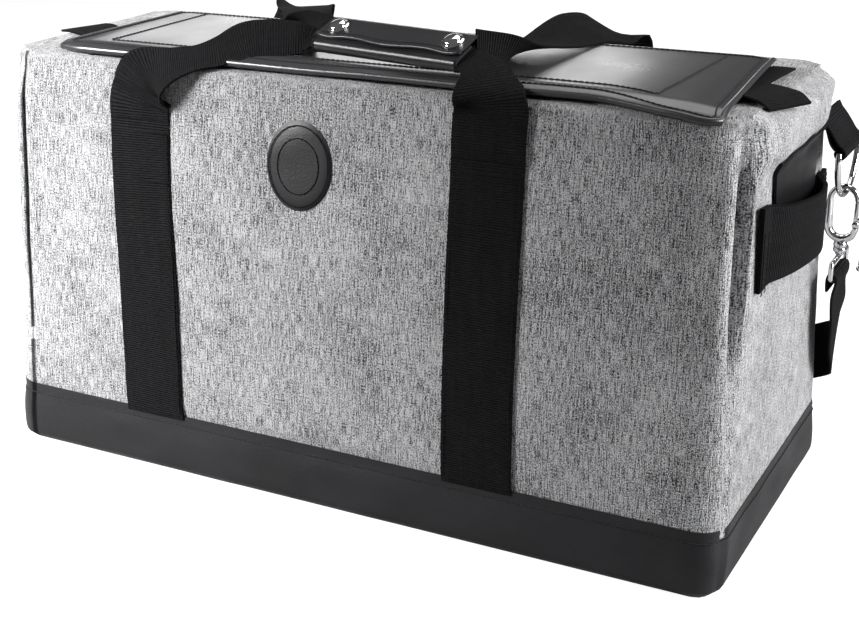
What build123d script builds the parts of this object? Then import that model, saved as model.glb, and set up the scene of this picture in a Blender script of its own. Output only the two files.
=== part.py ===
"""Fabric duffel bag with a leather-look base, a zipped top under a flap, and a shoulder strap.

Millimetres. The origin is on the floor under the middle of the bag, +X runs to the right end,
-Y to the front and +Z up. Every piece is written to its own file in parts/.
"""

import os
from math import atan2, cos, radians, sin

from build123d import *

# The bag's body: a box whose front and rear walls lean in towards the top.
BASE_LENGTH = 550.0
TOP_LENGTH = BASE_LENGTH - 4.0
BASE_DEPTH = 245.0
TOP_DEPTH = 180.0
HEIGHT = 292.0
CORNER_RADIUS = 18.0
WALL = 3.0
BAND_HEIGHT = 46.0
BOTTOM_THICK = 2.5
BOARD_THICK = 3.0
BOARD_CLEARANCE = 1.0
LINING_THICK = 0.8

# Clearances between pieces that move past each other.
GAP = 0.3
HINGE_GAP = 0.6

# Webbing.
WEBBING_WIDE = 50.0
WEBBING_THICK = 1.6
STRAP_WIDE = 38.0
STRAP_THICK = 1.8

# Sewn straps on the front and rear walls, and the patch between them.
STRAP_CENTRE_X = -14.0
STRAP_SPREAD = 256.0
SEWN_TOP = HEIGHT - 35.0
PATCH_X = -20.0
PATCH_Z = HEIGHT - 55.0
PATCH_WIDE = 50.0
PATCH_TALL = 58.0
PATCH_THICK = 1.8

# The top: two leaves that meet at the zip, with a fixed piece at each end.
ZIP_Y = -20.0
COIL_WIDE = 3.0
COIL_GAP = 0.5
COIL_DIP = 0.4
TAPE_THICK = 1.0
TAPE_UNDER_LEAF = 10.0
COIL_SLOT = 0.4
MOUTH_LEFT = -200.0
MOUTH_RIGHT = 178.0
STOP_LONG = 4.0
STOP_PROUD = 0.8
SLIDER_REST = 4.0
SLIDER_LONG = 14.0
SLIDER_WIDE = 11.0
SLIDER_PLATE = 1.4
PULL_LONG = 28.0
PULL_WIDE = 8.0
PULL_THICK = 1.2
PIN_RADIUS = 0.8

# The flap over the zip, sewn down along its rear edge.
FLAP_LEFT = -225.0
FLAP_RIGHT = 250.0
FLAP_FRONT = -86.0
FLAP_REAR = 48.0
FLAP_THICK = 2.5
FLAP_LIFT = 6.2
SEAM_WIDE = 8.0
GRIP_TAPE_WIDE = 20.0
GRIP_TAPE_LONG = 160.0
GRIP_TAPE_INSET = 10.0

# The carry handle: two webbing loops held in a wrap that closes with two snaps.
GRIP_X = 32.0
GRIP_Y = -64.0
GRIP_Z = HEIGHT + 21.0
GRIP_YAW = -11.0
GRIP_TILT = 24.0
GRIP_LONG = 118.0
GRIP_WIDE = 30.0
GRIP_THICK = 11.6
LEATHER = 1.8
GRIP_LAYER = 2.4
SNAP_RADIUS = 7.5
SNAP_DOME = 4.2
STUD_RADIUS = 2.4
STUD_SLACK = 1.0
SNAP_INSET = 12.0
LEAF_OVERLAP = 22.0

# Ends: closure tabs, grab handles, and the rings for the shoulder strap.
TAB_LEFT_X = -223.0
TAB_RIGHT_X = 238.0
TAB_LEFT_Y = -14.0
TAB_RIGHT_Y = -30.0
GRAB_LOW = HEIGHT - 106.0
GRAB_HIGH = HEIGHT - 68.0
GRAB_SPAN = 150.0
GRAB_CENTRE_Y = -4.0
GRAB_PROUD = 26.0
GRAB_PATCH_Z = HEIGHT - 64.0
GRAB_PATCH_TALL = 30.0
RING_Y = 80.0
RING_OUT = 16.0
RING_Z = HEIGHT - 52.0
RING_WIRE = 4.0
RING_DROP = 32.0
RING_SLACK = 1.0
TAB_TOP_Z = HEIGHT - 28.0

# Clasps.
HOOK_WIDE = 22.0
HOOK_TALL = 40.0
HOOK_THICK = 5.0
HOOK_BAR = 4.0
GATE_TALL = 18.0
GATE_GAP = 0.4
EYE_BAR = 3.4
EYE_SLACK = 1.2
EYE_TALL = 15.0
SWIVEL_RADIUS = 2.2
SWIVEL_SLACK = 0.05
BOSS_RADIUS = 4.6
BOSS_TALL = 8.0
LEVER_DROP = 34.0
ARM_LOW = 2.2
ARM_HIGH = 5.4
STEM_RADIUS = 1.1
BALL_RADIUS = 2.2

# The shoulder strap hangs from both clasps and lies along the rear wall.
STRAP_LOW_Z = 32.0
STRAP_STAND_OFF = 4.5
PAD_LONG = 190.0
PAD_TALL = 60.0
PAD_THICK = 9.0
ADJUSTER_X = 160.0
ADJUSTER_LONG = 24.0
ADJUSTER_WALL = 3.0

LEAN = atan2((BASE_DEPTH - TOP_DEPTH) / 2, HEIGHT)


def half_length(z):
    """Half the bag's outer length at a height."""
    return (BASE_LENGTH + (TOP_LENGTH - BASE_LENGTH) * z / HEIGHT) / 2


def half_depth(z):
    """Half the bag's outer depth at a height."""
    return (BASE_DEPTH + (TOP_DEPTH - BASE_DEPTH) * z / HEIGHT) / 2


def save(name, *solids):
    """Write one node, as a single solid or a group of separate solids."""
    shape = solids[0] if len(solids) == 1 else Compound(children=list(solids))
    export_step(shape, f"parts/{name}.step")


def solid(shape):
    """The one solid in a shape, without its wrapper."""
    found = shape.solids()
    if len(found) != 1:
        raise ValueError(f"expected one solid and found {len(found)}")
    return found[0]


def body_block(inset, low, high):
    """The bag's tapered outline, moved in by an inset, between two heights."""
    sections = [
        Plane.XY.offset(z)
        * RectangleRounded(
            2 * (half_length(z) - inset), 2 * (half_depth(z) - inset), CORNER_RADIUS - inset
        )
        for z in (low, high)
    ]
    return loft(sections, ruled=True)


def mitre_block(side, low, high):
    """The space of one wall, cut off at 45 degrees at the vertical corners."""
    over, reach = 30.0, 60.0
    sections = []
    for z in (low, high):
        x, y = half_length(z), half_depth(z)
        if side in ("front", "rear"):
            far, near = -y - over, -y + reach
            points = [(-x - over, far), (x + over, far), (x - reach, near), (-x + reach, near)]
        else:
            far, near = x + over, x - reach
            points = [(far, -y - over), (far, y + over), (near, y - reach), (near, -y + reach)]
        if side == "rear":
            points = [(px, -py) for px, py in points]
        if side == "left":
            points = [(-px, py) for px, py in points]
        sections.append(Plane.XY.offset(z) * make_face(Polyline(*points, close=True)))
    return loft(sections, ruled=True)


def ribbon(stations, wide, thick):
    """Webbing through stations of (centre, width direction, face direction), as one solid."""
    sections = []
    for centre, across, out in stations:
        c, a, n = Vector(*centre), Vector(*across).normalized(), Vector(*out).normalized()
        n = (n - a * n.dot(a)).normalized()
        signs = ((-1, -1), (1, -1), (1, 1), (-1, 1))
        corners = [c + a * (i * wide / 2) + n * (j * thick / 2) for i, j in signs]
        sections.append(Face(Wire.make_polygon(corners, close=True)))
    return loft(sections, ruled=True)


def box(low, high):
    """A box between two corners."""
    size = [b - a for a, b in zip(low, high)]
    middle = [(a + b) / 2 for a, b in zip(low, high)]
    return Pos(*middle) * Box(*size)


def mirrored(shape, plane):
    """A mirrored copy, as a solid of its own."""
    return solid(mirror(shape, about=plane))


WALL_PLANE = {
    "front": Plane(origin=(0, -BASE_DEPTH / 2, 0), x_dir=(1, 0, 0), z_dir=(0, -cos(LEAN), sin(LEAN))),
    "rear": Plane(origin=(0, BASE_DEPTH / 2, 0), x_dir=(-1, 0, 0), z_dir=(0, cos(LEAN), sin(LEAN))),
}


def on_wall(side, x, low, high, wide, thick):
    """A flat strip on the front or rear wall, centred on x, between two heights."""
    sign = 1 if side == "front" else -1
    tall = (high - low) / cos(LEAN)
    middle = (high + low) / 2 / cos(LEAN)
    return WALL_PLANE[side] * Pos(sign * x, middle, thick / 2) * Box(wide, tall, thick)


def make_shell():
    """The fabric walls, the leather-look base band, the bottom, the board and the lining."""
    walls = body_block(0, BAND_HEIGHT, HEIGHT) - body_block(WALL, BAND_HEIGHT, HEIGHT)
    bands = body_block(0, 0, BAND_HEIGHT) - body_block(WALL, 0, BAND_HEIGHT)
    for side in ("front", "rear", "left", "right"):
        name = f"{side}_panel" if side in WALL_PLANE else f"{side}_end_panel"
        save(name, solid(walls & mitre_block(side, BAND_HEIGHT, HEIGHT)))
        save(f"base_band_{side}", solid(bands & mitre_block(side, 0, BAND_HEIGHT)))
    save("bottom_panel", solid(body_block(WALL, 0, BOTTOM_THICK)))
    board_top = BOTTOM_THICK + BOARD_THICK
    save("base_board", solid(body_block(WALL + BOARD_CLEARANCE, BOTTOM_THICK, board_top)))
    lining_top = HEIGHT - WALL - TAPE_THICK - GAP
    lining = body_block(WALL, board_top, lining_top)
    lining -= body_block(WALL + LINING_THICK, board_top + LINING_THICK, lining_top + 1)
    save("lining", solid(lining))


def make_sewn_pieces():
    """The webbing sewn on the front and rear walls, and the bare patch."""
    for side in ("front", "rear"):
        strips = []
        for sign in (-1, 1):
            x = STRAP_CENTRE_X + sign * STRAP_SPREAD / 2
            strips.append(solid(on_wall(side, x, BAND_HEIGHT, SEWN_TOP, WEBBING_WIDE, WEBBING_THICK)))
        save(f"{side}_straps", *strips)
    patch = Ellipse(PATCH_WIDE / 2, PATCH_TALL / 2)
    patch = WALL_PLANE["front"] * Pos(PATCH_X, PATCH_Z / cos(LEAN), 0) * extrude(patch, PATCH_THICK)
    save("front_patch", solid(patch))


LEAF_UNDER = HEIGHT - WALL
COIL_TOP = HEIGHT - COIL_DIP
COIL_FRONT_FAR = ZIP_Y - COIL_GAP / 2 - COIL_WIDE
COIL_REAR_FAR = ZIP_Y + COIL_GAP / 2 + COIL_WIDE
LEAF_FRONT_EDGE = COIL_FRONT_FAR - COIL_SLOT
LEAF_REAR_EDGE = COIL_REAR_FAR + COIL_SLOT
TOP_FRONT = -half_depth(HEIGHT) + WALL + HINGE_GAP
TOP_REAR = half_depth(HEIGHT) - WALL - HINGE_GAP
SLIDER_RIGHT = TAB_RIGHT_X - STOP_LONG - SLIDER_REST


def zip_half(side, left, right):
    """One tape and its coil between two places along the zip."""
    if side == "front":
        meet, coil_far = ZIP_Y - COIL_GAP / 2, COIL_FRONT_FAR
        tape_far = LEAF_FRONT_EDGE - TAPE_UNDER_LEAF
    else:
        meet, coil_far = ZIP_Y + COIL_GAP / 2, COIL_REAR_FAR
        tape_far = LEAF_REAR_EDGE + TAPE_UNDER_LEAF
    near, far = sorted((meet, tape_far))
    tape = box((left, near, LEAF_UNDER - TAPE_THICK), (right, far, LEAF_UNDER))
    near, far = sorted((meet, coil_far))
    coil = box((left, near, LEAF_UNDER), (right, far, COIL_TOP))
    return solid(tape), solid(coil)


def make_top():
    """The two leaves, their zip halves, and the fixed pieces that close both ends of the top."""
    plan = body_block(WALL, LEAF_UNDER, HEIGHT)
    big = BASE_LENGTH
    slot = box((-big, LEAF_FRONT_EDGE, 0), (big, LEAF_REAR_EDGE, 2 * HEIGHT))
    right = plan & box((MOUTH_RIGHT, -big, 0), (big, big, 2 * HEIGHT))
    left = plan & box((-big, -big, 0), (MOUTH_LEFT, big, 2 * HEIGHT))
    zip_left, zip_right = TAB_LEFT_X, TAB_RIGHT_X
    open_right = box((0, LEAF_FRONT_EDGE, 0), (zip_right, LEAF_REAR_EDGE, 2 * HEIGHT))
    open_left = box((zip_left, LEAF_FRONT_EDGE, 0), (0, LEAF_REAR_EDGE, 2 * HEIGHT))
    save("top_end_right", solid(right - open_right))
    save("top_end_left", solid(left - open_left))
    left_edge, right_edge = MOUTH_LEFT + GAP, MOUTH_RIGHT - GAP
    front = box((left_edge, TOP_FRONT, LEAF_UNDER), (right_edge, LEAF_FRONT_EDGE, HEIGHT))
    rear = box((left_edge, LEAF_REAR_EDGE, LEAF_UNDER), (right_edge, TOP_REAR, HEIGHT))
    save("front_leaf", solid(front))
    save("rear_leaf", solid(rear))
    for side in ("front", "rear"):
        tape, coil = zip_half(side, left_edge, right_edge)
        save(f"zip_tape_{side}", tape)
        save(f"zip_coil_{side}", coil)
    ends = []
    for low, high in ((zip_left, MOUTH_LEFT), (MOUTH_RIGHT, zip_right)):
        for side in ("front", "rear"):
            ends += zip_half(side, low, high)
    save("zip_end_tapes", *ends)
    stops = []
    for x in (zip_left + STOP_LONG / 2, zip_right - STOP_LONG / 2):
        low = (x - STOP_LONG / 2, COIL_FRONT_FAR, COIL_TOP)
        stops.append(solid(box(low, (x + STOP_LONG / 2, COIL_REAR_FAR, HEIGHT + STOP_PROUD))))
    save("zip_stops", *stops)
    return left_edge, right_edge


PULL_PIN_X = SLIDER_RIGHT - 4.0
PULL_PIN_Z = HEIGHT + 0.4 + SLIDER_PLATE + 1.3
LUG_THICK = 1.4
LUG_LONG = 3.2
PULL_EYE = 1.4
PULL_HOLE = 2.0
POST_LONG = 3.0


def make_slider():
    """The zip slider, which wraps both coils, and its pull."""
    left, right = SLIDER_RIGHT - SLIDER_LONG, SLIDER_RIGHT
    top = COIL_TOP + GAP
    bottom = LEAF_UNDER - TAPE_THICK - GAP
    side = SLIDER_WIDE / 2
    plate_low = HEIGHT + GAP
    plate_top = plate_low + SLIDER_PLATE
    upper = box((left, ZIP_Y - COIL_WIDE, top), (right, ZIP_Y + COIL_WIDE, top + SLIDER_PLATE))
    upper += box((left, ZIP_Y - side, plate_low), (right, ZIP_Y + side, plate_top))
    lower = box((left, ZIP_Y - side, bottom - SLIDER_PLATE), (right, ZIP_Y + side, bottom))
    post_half = COIL_GAP / 2 - 0.1
    post = box((right - POST_LONG, ZIP_Y - post_half, bottom), (right, ZIP_Y + post_half, top))
    lugs = []
    for sign in (-1, 1):
        y = ZIP_Y + sign * (PULL_WIDE / 2 + GAP + LUG_THICK / 2)
        low = (PULL_PIN_X - LUG_LONG / 2, y - LUG_THICK / 2, plate_top)
        high = (PULL_PIN_X + LUG_LONG / 2, y + LUG_THICK / 2, PULL_PIN_Z + 1.0)
        lugs.append(box(low, high))
    at_pin = Pos(PULL_PIN_X, ZIP_Y, PULL_PIN_Z) * Rot(90, 0, 0)
    pin = at_pin * Cylinder(PIN_RADIUS, PULL_WIDE + 2 * GAP + 2)
    save("zip_slider", solid(upper + lower + post + lugs[0] + lugs[1] + pin))
    half_wide, half_thick = PULL_WIDE / 2, PULL_THICK / 2
    pull = box(
        (PULL_PIN_X - PULL_LONG, ZIP_Y - half_wide, PULL_PIN_Z - half_thick),
        (PULL_PIN_X, ZIP_Y + half_wide, PULL_PIN_Z + half_thick),
    )
    pull += at_pin * Cylinder(PULL_EYE, PULL_WIDE)
    pull -= at_pin * Cylinder(PIN_RADIUS + 0.1, PULL_WIDE + 2)
    pull -= Pos(PULL_PIN_X - PULL_LONG + 6, ZIP_Y, PULL_PIN_Z) * Cylinder(PULL_HOLE, 10)
    save("zip_pull", solid(pull))


FLAP_UNDER = HEIGHT + FLAP_LIFT
FLAP_TOP = FLAP_UNDER + FLAP_THICK


def make_flap(left_edge, right_edge):
    """The flap, the folded seam that carries it, and the two halves of its hook-and-loop tape."""
    plate = box((FLAP_LEFT, FLAP_FRONT, FLAP_UNDER), (FLAP_RIGHT, FLAP_REAR, FLAP_TOP))
    save("top_flap", solid(fillet(plate.edges().filter_by(Axis.Z), 10)))
    seam_left, seam_right = left_edge + 2, right_edge - 2
    seam = box((seam_left, FLAP_REAR - SEAM_WIDE, HEIGHT), (seam_right, FLAP_REAR, FLAP_UNDER - GAP))
    save("flap_seam", solid(seam))
    tape_front = FLAP_FRONT + GRIP_TAPE_INSET
    tape_rear = tape_front + GRIP_TAPE_WIDE
    split = HEIGHT + FLAP_LIFT / 2
    tapes = {"loop_tape": (HEIGHT, split - GAP / 2), "hook_tape": (split + GAP / 2, FLAP_UNDER)}
    for name, (low, high) in tapes.items():
        pair = []
        for x in (left_edge + 6, right_edge - 6 - GRIP_TAPE_LONG):
            pair.append(solid(box((x, tape_front, low), (x + GRIP_TAPE_LONG, tape_rear, high))))
        save(name, *pair)


GRIP = Plane(
    origin=(GRIP_X, GRIP_Y, GRIP_Z),
    x_dir=(cos(radians(GRIP_YAW)), sin(radians(GRIP_YAW)), 0),
    z_dir=(
        sin(radians(GRIP_TILT)) * sin(radians(GRIP_YAW)),
        -sin(radians(GRIP_TILT)) * cos(radians(GRIP_YAW)),
        cos(radians(GRIP_TILT)),
    ),
)


def grip_box(low, high):
    """A box in the grip's own axes: along it, across it and out of its face."""
    return GRIP * box(low, high)


def make_grip():
    """The wrap round both loops' webbing, its hinged leaf, and the snaps."""
    long, wide, thick = GRIP_LONG / 2, GRIP_WIDE / 2, GRIP_THICK / 2
    under = box((-long, -wide, -thick), (long, wide, -thick + LEATHER))
    rear_wall = box((-long, wide - LEATHER, -thick), (long, wide, thick - LEATHER - HINGE_GAP))
    front_wall = box((-long, -wide, -thick), (long, -wide + LEATHER, thick - LEATHER - GAP))
    lip_top = thick - LEATHER - GAP
    lip = box((-long, -wide, lip_top - LEATHER), (long, -wide + 20, lip_top))
    save("grip_wrap", solid(GRIP * (under + rear_wall + front_wall + lip)))
    room = wide - LEATHER - GAP
    low = -thick + LEATHER + GAP
    for name, start in (("grip_webbing_front", low), ("grip_webbing_rear", low + GRIP_LAYER + GAP)):
        save(name, solid(grip_box((-long, -room, start), (long, room, start + GRIP_LAYER))))
    leaf = box((-long, wide - LEAF_OVERLAP, thick - LEATHER), (long, wide, thick))
    snap_y = wide - LEAF_OVERLAP + SNAP_RADIUS + 1.5
    studs, caps = [], []
    for sign in (-1, 1):
        x = sign * (long - SNAP_INSET)
        hole = STUD_RADIUS + STUD_SLACK
        leaf -= Pos(x, snap_y, thick) * Cylinder(hole, 4 * LEATHER)
        stud_top = thick + 1.2
        stud_tall = stud_top - lip_top
        stud = Pos(x, snap_y, lip_top + stud_tall / 2) * Cylinder(STUD_RADIUS, stud_tall)
        studs.append(solid(GRIP * stud))
        sphere_radius = (SNAP_RADIUS**2 + SNAP_DOME**2) / (2 * SNAP_DOME)
        dome = Pos(0, 0, SNAP_DOME - sphere_radius) * Sphere(sphere_radius)
        dome &= Pos(0, 0, SNAP_DOME / 2) * Cylinder(SNAP_RADIUS + 1, SNAP_DOME)
        dome -= Pos(0, 0, 1.0) * Cylinder(hole, 2.0)
        caps.append(solid(GRIP * Pos(x, snap_y, thick) * dome))
    save("wrap_leaf", solid(GRIP * leaf))
    save("snap_studs", *studs)
    save("snap_caps", *caps)


LEG_CLEAR = 2.0
LEG_END_GAP = 0.7
LEG_END_WIDE = 14.0
LEG_END_OFFSET = 8.0


def make_legs():
    """The free webbing between the sewn straps and the grip, two legs on each side."""
    rise = FLAP_TOP + LEG_CLEAR
    along, across, out = GRIP.x_dir, GRIP.y_dir, GRIP.z_dir
    for side, mark in (("front", -1), ("rear", 1)):
        legs = []
        for sign in (-1, 1):
            x = STRAP_CENTRE_X + sign * STRAP_SPREAD / 2
            low_y = mark * (half_depth(SEWN_TOP) + WEBBING_THICK / 2 + GAP)
            edge_y = mark * (half_depth(HEIGHT) + WEBBING_THICK / 2 + GAP)
            up = (0, mark, 0)
            end = Vector(GRIP_X, GRIP_Y, GRIP_Z) + along * (sign * (GRIP_LONG / 2 + LEG_END_GAP))
            end = end + across * (mark * LEG_END_OFFSET)
            turned = Vector(x, mark * (half_depth(HEIGHT) - LEG_CLEAR), rise + LEG_CLEAR)
            lower = [
                ((x, low_y, SEWN_TOP + GAP), (1, 0, 0), up),
                ((x, edge_y, HEIGHT), (1, 0, 0), up),
                ((x, edge_y, rise), (1, 0, 0), up),
                (turned, (1, 0, 0), (0, mark, 1)),
            ]
            upper = [
                (turned, (1, 0, 0), (0, mark, 1)),
                (turned * 0.5 + end * 0.5 + Vector(0, 0, 8), (0.7, -0.7 * sign, 0), (0, 0, 1)),
                (end, across, out),
            ]
            first = ribbon(lower, WEBBING_WIDE, WEBBING_THICK)
            second = ribbon(upper, LEG_END_WIDE, WEBBING_THICK)
            legs.append(solid(first + second))
        save(f"handle_legs_{side}", *legs)


def path_ribbon(points, outs, wide, thick):
    """Webbing along points that lies square to a face direction at each of them."""
    points = [Vector(*p) for p in points]
    stations = []
    for i, (point, out) in enumerate(zip(points, outs)):
        ahead, behind = points[min(i + 1, len(points) - 1)], points[max(i - 1, 0)]
        run = (ahead - behind).normalized()
        across = run.cross(Vector(*out))
        face = across.cross(run)
        stations.append((point, across, face))
    return ribbon(stations, wide, thick)


def save_pair(name, shape):
    """Write a right-hand piece and its mirror image on the left."""
    save(f"{name}_right", shape)
    save(f"{name}_left", mirrored(shape, Plane.YZ))


def make_closure_tabs():
    """Webbing sewn over both ends of the zip and down on to the end panels' seams."""
    tabs = (("left", TAB_LEFT_X, TAB_LEFT_Y, -1), ("right", TAB_RIGHT_X, TAB_RIGHT_Y, 1))
    for name, x, y, sign in tabs:
        end = sign * (half_length(HEIGHT) - 1)
        low = min(x, end)
        high = max(x, end)
        tab = box((low, y - STRAP_WIDE / 2, HEIGHT), (high, y + STRAP_WIDE / 2, HEIGHT + WEBBING_THICK))
        save(f"end_tab_{name}", solid(tab))


GRAB_Z = (GRAB_LOW + GRAB_HIGH) / 2
GRAB_THICK = 2 * WEBBING_THICK
GRAB_ANCHOR = 14.0


def make_grab_handles():
    """A webbing handle that stands proud of each end panel, and the patch behind it."""
    wall = half_length(GRAB_LOW) + GRAB_THICK / 2 + GAP
    near = GRAB_CENTRE_Y - GRAB_SPAN / 2
    far = GRAB_CENTRE_Y + GRAB_SPAN / 2
    top = wall + GRAB_PROUD
    route = [
        (wall, near), (wall, near + GRAB_ANCHOR), (wall + 0.6 * GRAB_PROUD, near + 0.22 * GRAB_SPAN),
        (top, near + 0.38 * GRAB_SPAN), (top, far - 0.38 * GRAB_SPAN),
        (wall + 0.6 * GRAB_PROUD, far - 0.22 * GRAB_SPAN), (wall, far - GRAB_ANCHOR), (wall, far),
    ]
    points = [(x, y, GRAB_Z) for x, y in route]
    outs = []
    for i in range(len(route)):
        (x0, y0), (x1, y1) = route[max(i - 1, 0)], route[min(i + 1, len(route) - 1)]
        outs.append((y1 - y0, x0 - x1, 0))
    strap = path_ribbon(points, outs, GRAB_HIGH - GRAB_LOW, GRAB_THICK)
    save_pair("grab_handle", solid(strap))
    low = GRAB_PATCH_Z
    x = half_length(low) + GAP
    patch = box((x, near + 30, low), (x + WEBBING_THICK, far - 24, low + GRAB_PATCH_TALL))
    save_pair("end_patch", solid(patch))


RING_X = half_length(RING_Z) + RING_OUT
RING_R = RING_WIRE / 2
RING_HALF = WEBBING_WIDE / 2 + RING_SLACK + RING_R
LOOP_IN = RING_R + GAP
LOOP_OUT = LOOP_IN + WEBBING_THICK


def make_ring():
    """The D-ring, and the webbing tab that its straight bar turns in."""
    bar = Pos(RING_X, RING_Y, RING_Z) * Rot(90, 0, 0) * Cylinder(RING_R, 2 * RING_HALF)
    ends = [Pos(RING_X, RING_Y + s * RING_HALF, RING_Z) * Sphere(RING_R) for s in (-1, 1)]
    path = ThreePointArc(
        (RING_X, RING_Y - RING_HALF, RING_Z),
        (RING_X, RING_Y, RING_Z - RING_DROP),
        (RING_X, RING_Y + RING_HALF, RING_Z),
    )
    arc = sweep(Plane(origin=path @ 0, z_dir=path % 0) * Circle(RING_R), path=path)
    save_pair("d_ring", solid(bar + ends[0] + ends[1] + arc))
    loop = Pos(RING_X, RING_Y, RING_Z) * Rot(90, 0, 0) * Cylinder(LOOP_OUT, WEBBING_WIDE)
    wall = half_length(TAB_TOP_Z) + WEBBING_THICK + GAP
    plies = 2 * WEBBING_THICK
    run = [
        (wall, RING_Y, TAB_TOP_Z + 8), (wall, RING_Y, TAB_TOP_Z - 4),
        (wall + 0.45 * RING_OUT, RING_Y, RING_Z + 10), (RING_X, RING_Y, RING_Z + LOOP_IN),
    ]
    outs = [(1, 0, 0), (1, 0, 0.3), (1, 0, 1), (1, 0, 1)]
    tab = path_ribbon(run, outs, WEBBING_WIDE, plies) + loop
    tab -= Pos(RING_X, RING_Y, RING_Z) * Rot(90, 0, 0) * Cylinder(LOOP_IN, WEBBING_WIDE + 2)
    save_pair("ring_tab", solid(tab))


HOOK_TOP_IN = RING_Z - RING_DROP + RING_R + GAP
HOOK_TOP = HOOK_TOP_IN + HOOK_BAR
HOOK_LOW = HOOK_TOP - HOOK_TALL
HOOK_MID = (HOOK_TOP + HOOK_LOW) / 2
GATE_X = RING_X + HOOK_WIDE / 2 - HOOK_BAR / 2
GATE_LOW = HOOK_MID - GATE_TALL / 2
CHEEK = 1.2
GATE_PIN = 0.9
GATE_FIT = 0.05
BOSS_LOW = HOOK_LOW - BOSS_TALL + 1
HEAD_TALL = 2.0
HEAD_RADIUS = 3.2


def xz(x, z, y=RING_Y):
    """A sketch plane facing the front, at a place on a clasp."""
    return Plane(origin=(x, y, z), x_dir=(1, 0, 0), z_dir=(0, -1, 0))


def make_clasp():
    """The swivel clasp: its hook and boss, the sprung gate with its thumb lever, and the eye."""
    inner_wide, inner_tall = HOOK_WIDE - 2 * HOOK_BAR, HOOK_TALL - 2 * HOOK_BAR
    outline = SlotOverall(HOOK_TALL, HOOK_WIDE, rotation=90)
    outline -= SlotOverall(inner_tall, inner_wide, rotation=90)
    hook = extrude(xz(RING_X, HOOK_MID) * outline, HOOK_THICK / 2, both=True)
    hook += Pos(RING_X, RING_Y, (HOOK_LOW + 1 + BOSS_LOW) / 2) * Cylinder(BOSS_RADIUS, BOSS_TALL)
    side = HOOK_BAR / 2 + GATE_GAP
    half = HOOK_THICK / 2
    hook -= box(
        (GATE_X - side - 1, RING_Y - half - 1, GATE_LOW + HOOK_BAR + GATE_GAP),
        (GATE_X + side + 1, RING_Y + half + 1, GATE_LOW + GATE_TALL),
    )
    slot = half - CHEEK
    hook -= box(
        (GATE_X - side - 1, RING_Y - slot, GATE_LOW - HOOK_BAR),
        (GATE_X + side + 3, RING_Y + slot, GATE_LOW + GATE_TALL),
    )
    pin_z = GATE_LOW + HOOK_BAR / 2
    pin = Pos(GATE_X, RING_Y, pin_z) * Rot(90, 0, 0) * Cylinder(GATE_PIN, HOOK_THICK + 1)
    hook += pin
    chamber_low = BOSS_LOW + HEAD_TALL
    shaft_hole = SWIVEL_RADIUS + SWIVEL_SLACK
    hook -= Pos(RING_X, RING_Y, BOSS_LOW) * Cylinder(shaft_hole, 3 * HEAD_TALL)
    room = HEAD_TALL + 2 * GAP
    hook -= Pos(RING_X, RING_Y, chamber_low + room / 2) * Cylinder(HEAD_RADIUS + GAP, room)
    save_pair("clasp_hook", solid(hook))
    gate_half = slot - GAP
    gate = box(
        (GATE_X - HOOK_BAR / 2, RING_Y - gate_half, pin_z),
        (GATE_X + HOOK_BAR / 2, RING_Y + gate_half, GATE_LOW + GATE_TALL - GATE_GAP),
    )
    gate += Pos(GATE_X, RING_Y, pin_z) * Rot(90, 0, 0) * Cylinder(HOOK_BAR / 2, 2 * gate_half)
    lever_x = GATE_X + HOOK_BAR + 1
    arm_low, arm_high = pin_z + ARM_LOW, pin_z + ARM_HIGH
    arm = box((GATE_X, RING_Y - gate_half, arm_low), (lever_x + 1, RING_Y + gate_half, arm_high))
    stem_top = (arm_low + arm_high) / 2
    stem = Pos(lever_x, RING_Y, stem_top - LEVER_DROP / 2) * Cylinder(STEM_RADIUS, LEVER_DROP)
    ball = Pos(lever_x, RING_Y, stem_top - LEVER_DROP) * Sphere(BALL_RADIUS)
    gate += arm + stem + ball
    gate -= Pos(GATE_X, RING_Y, pin_z) * Rot(90, 0, 0) * Cylinder(GATE_PIN + GATE_FIT, HOOK_THICK + 4)
    save_pair("clasp_gate", solid(gate))
    eye_top = BOSS_LOW - 1.0
    wide = STRAP_WIDE + 2 * EYE_SLACK
    frame = Pos(RING_X, RING_Y, eye_top - EYE_TALL / 2) * Box(EYE_BAR, wide + 2 * EYE_BAR, EYE_TALL)
    frame -= Pos(RING_X, RING_Y, eye_top - EYE_TALL / 2) * Box(2 * EYE_BAR, wide, EYE_TALL - 2 * EYE_BAR)
    frame = fillet(frame.edges().filter_by(Axis.X), 1.2)
    head_low = chamber_low + GAP
    shaft_tall = head_low + HEAD_TALL - eye_top + 1
    frame += Pos(RING_X, RING_Y, eye_top - 1 + shaft_tall / 2) * Cylinder(SWIVEL_RADIUS, shaft_tall)
    frame += Pos(RING_X, RING_Y, head_low + HEAD_TALL / 2) * Cylinder(HEAD_RADIUS, HEAD_TALL)
    save_pair("clasp_eye", solid(frame))
    return eye_top - EYE_TALL + EYE_BAR / 2


STRAP_Y = half_depth(0) + STRAP_STAND_OFF
STRAP_SPLIT_X = BASE_LENGTH / 2 - 79.0


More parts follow.
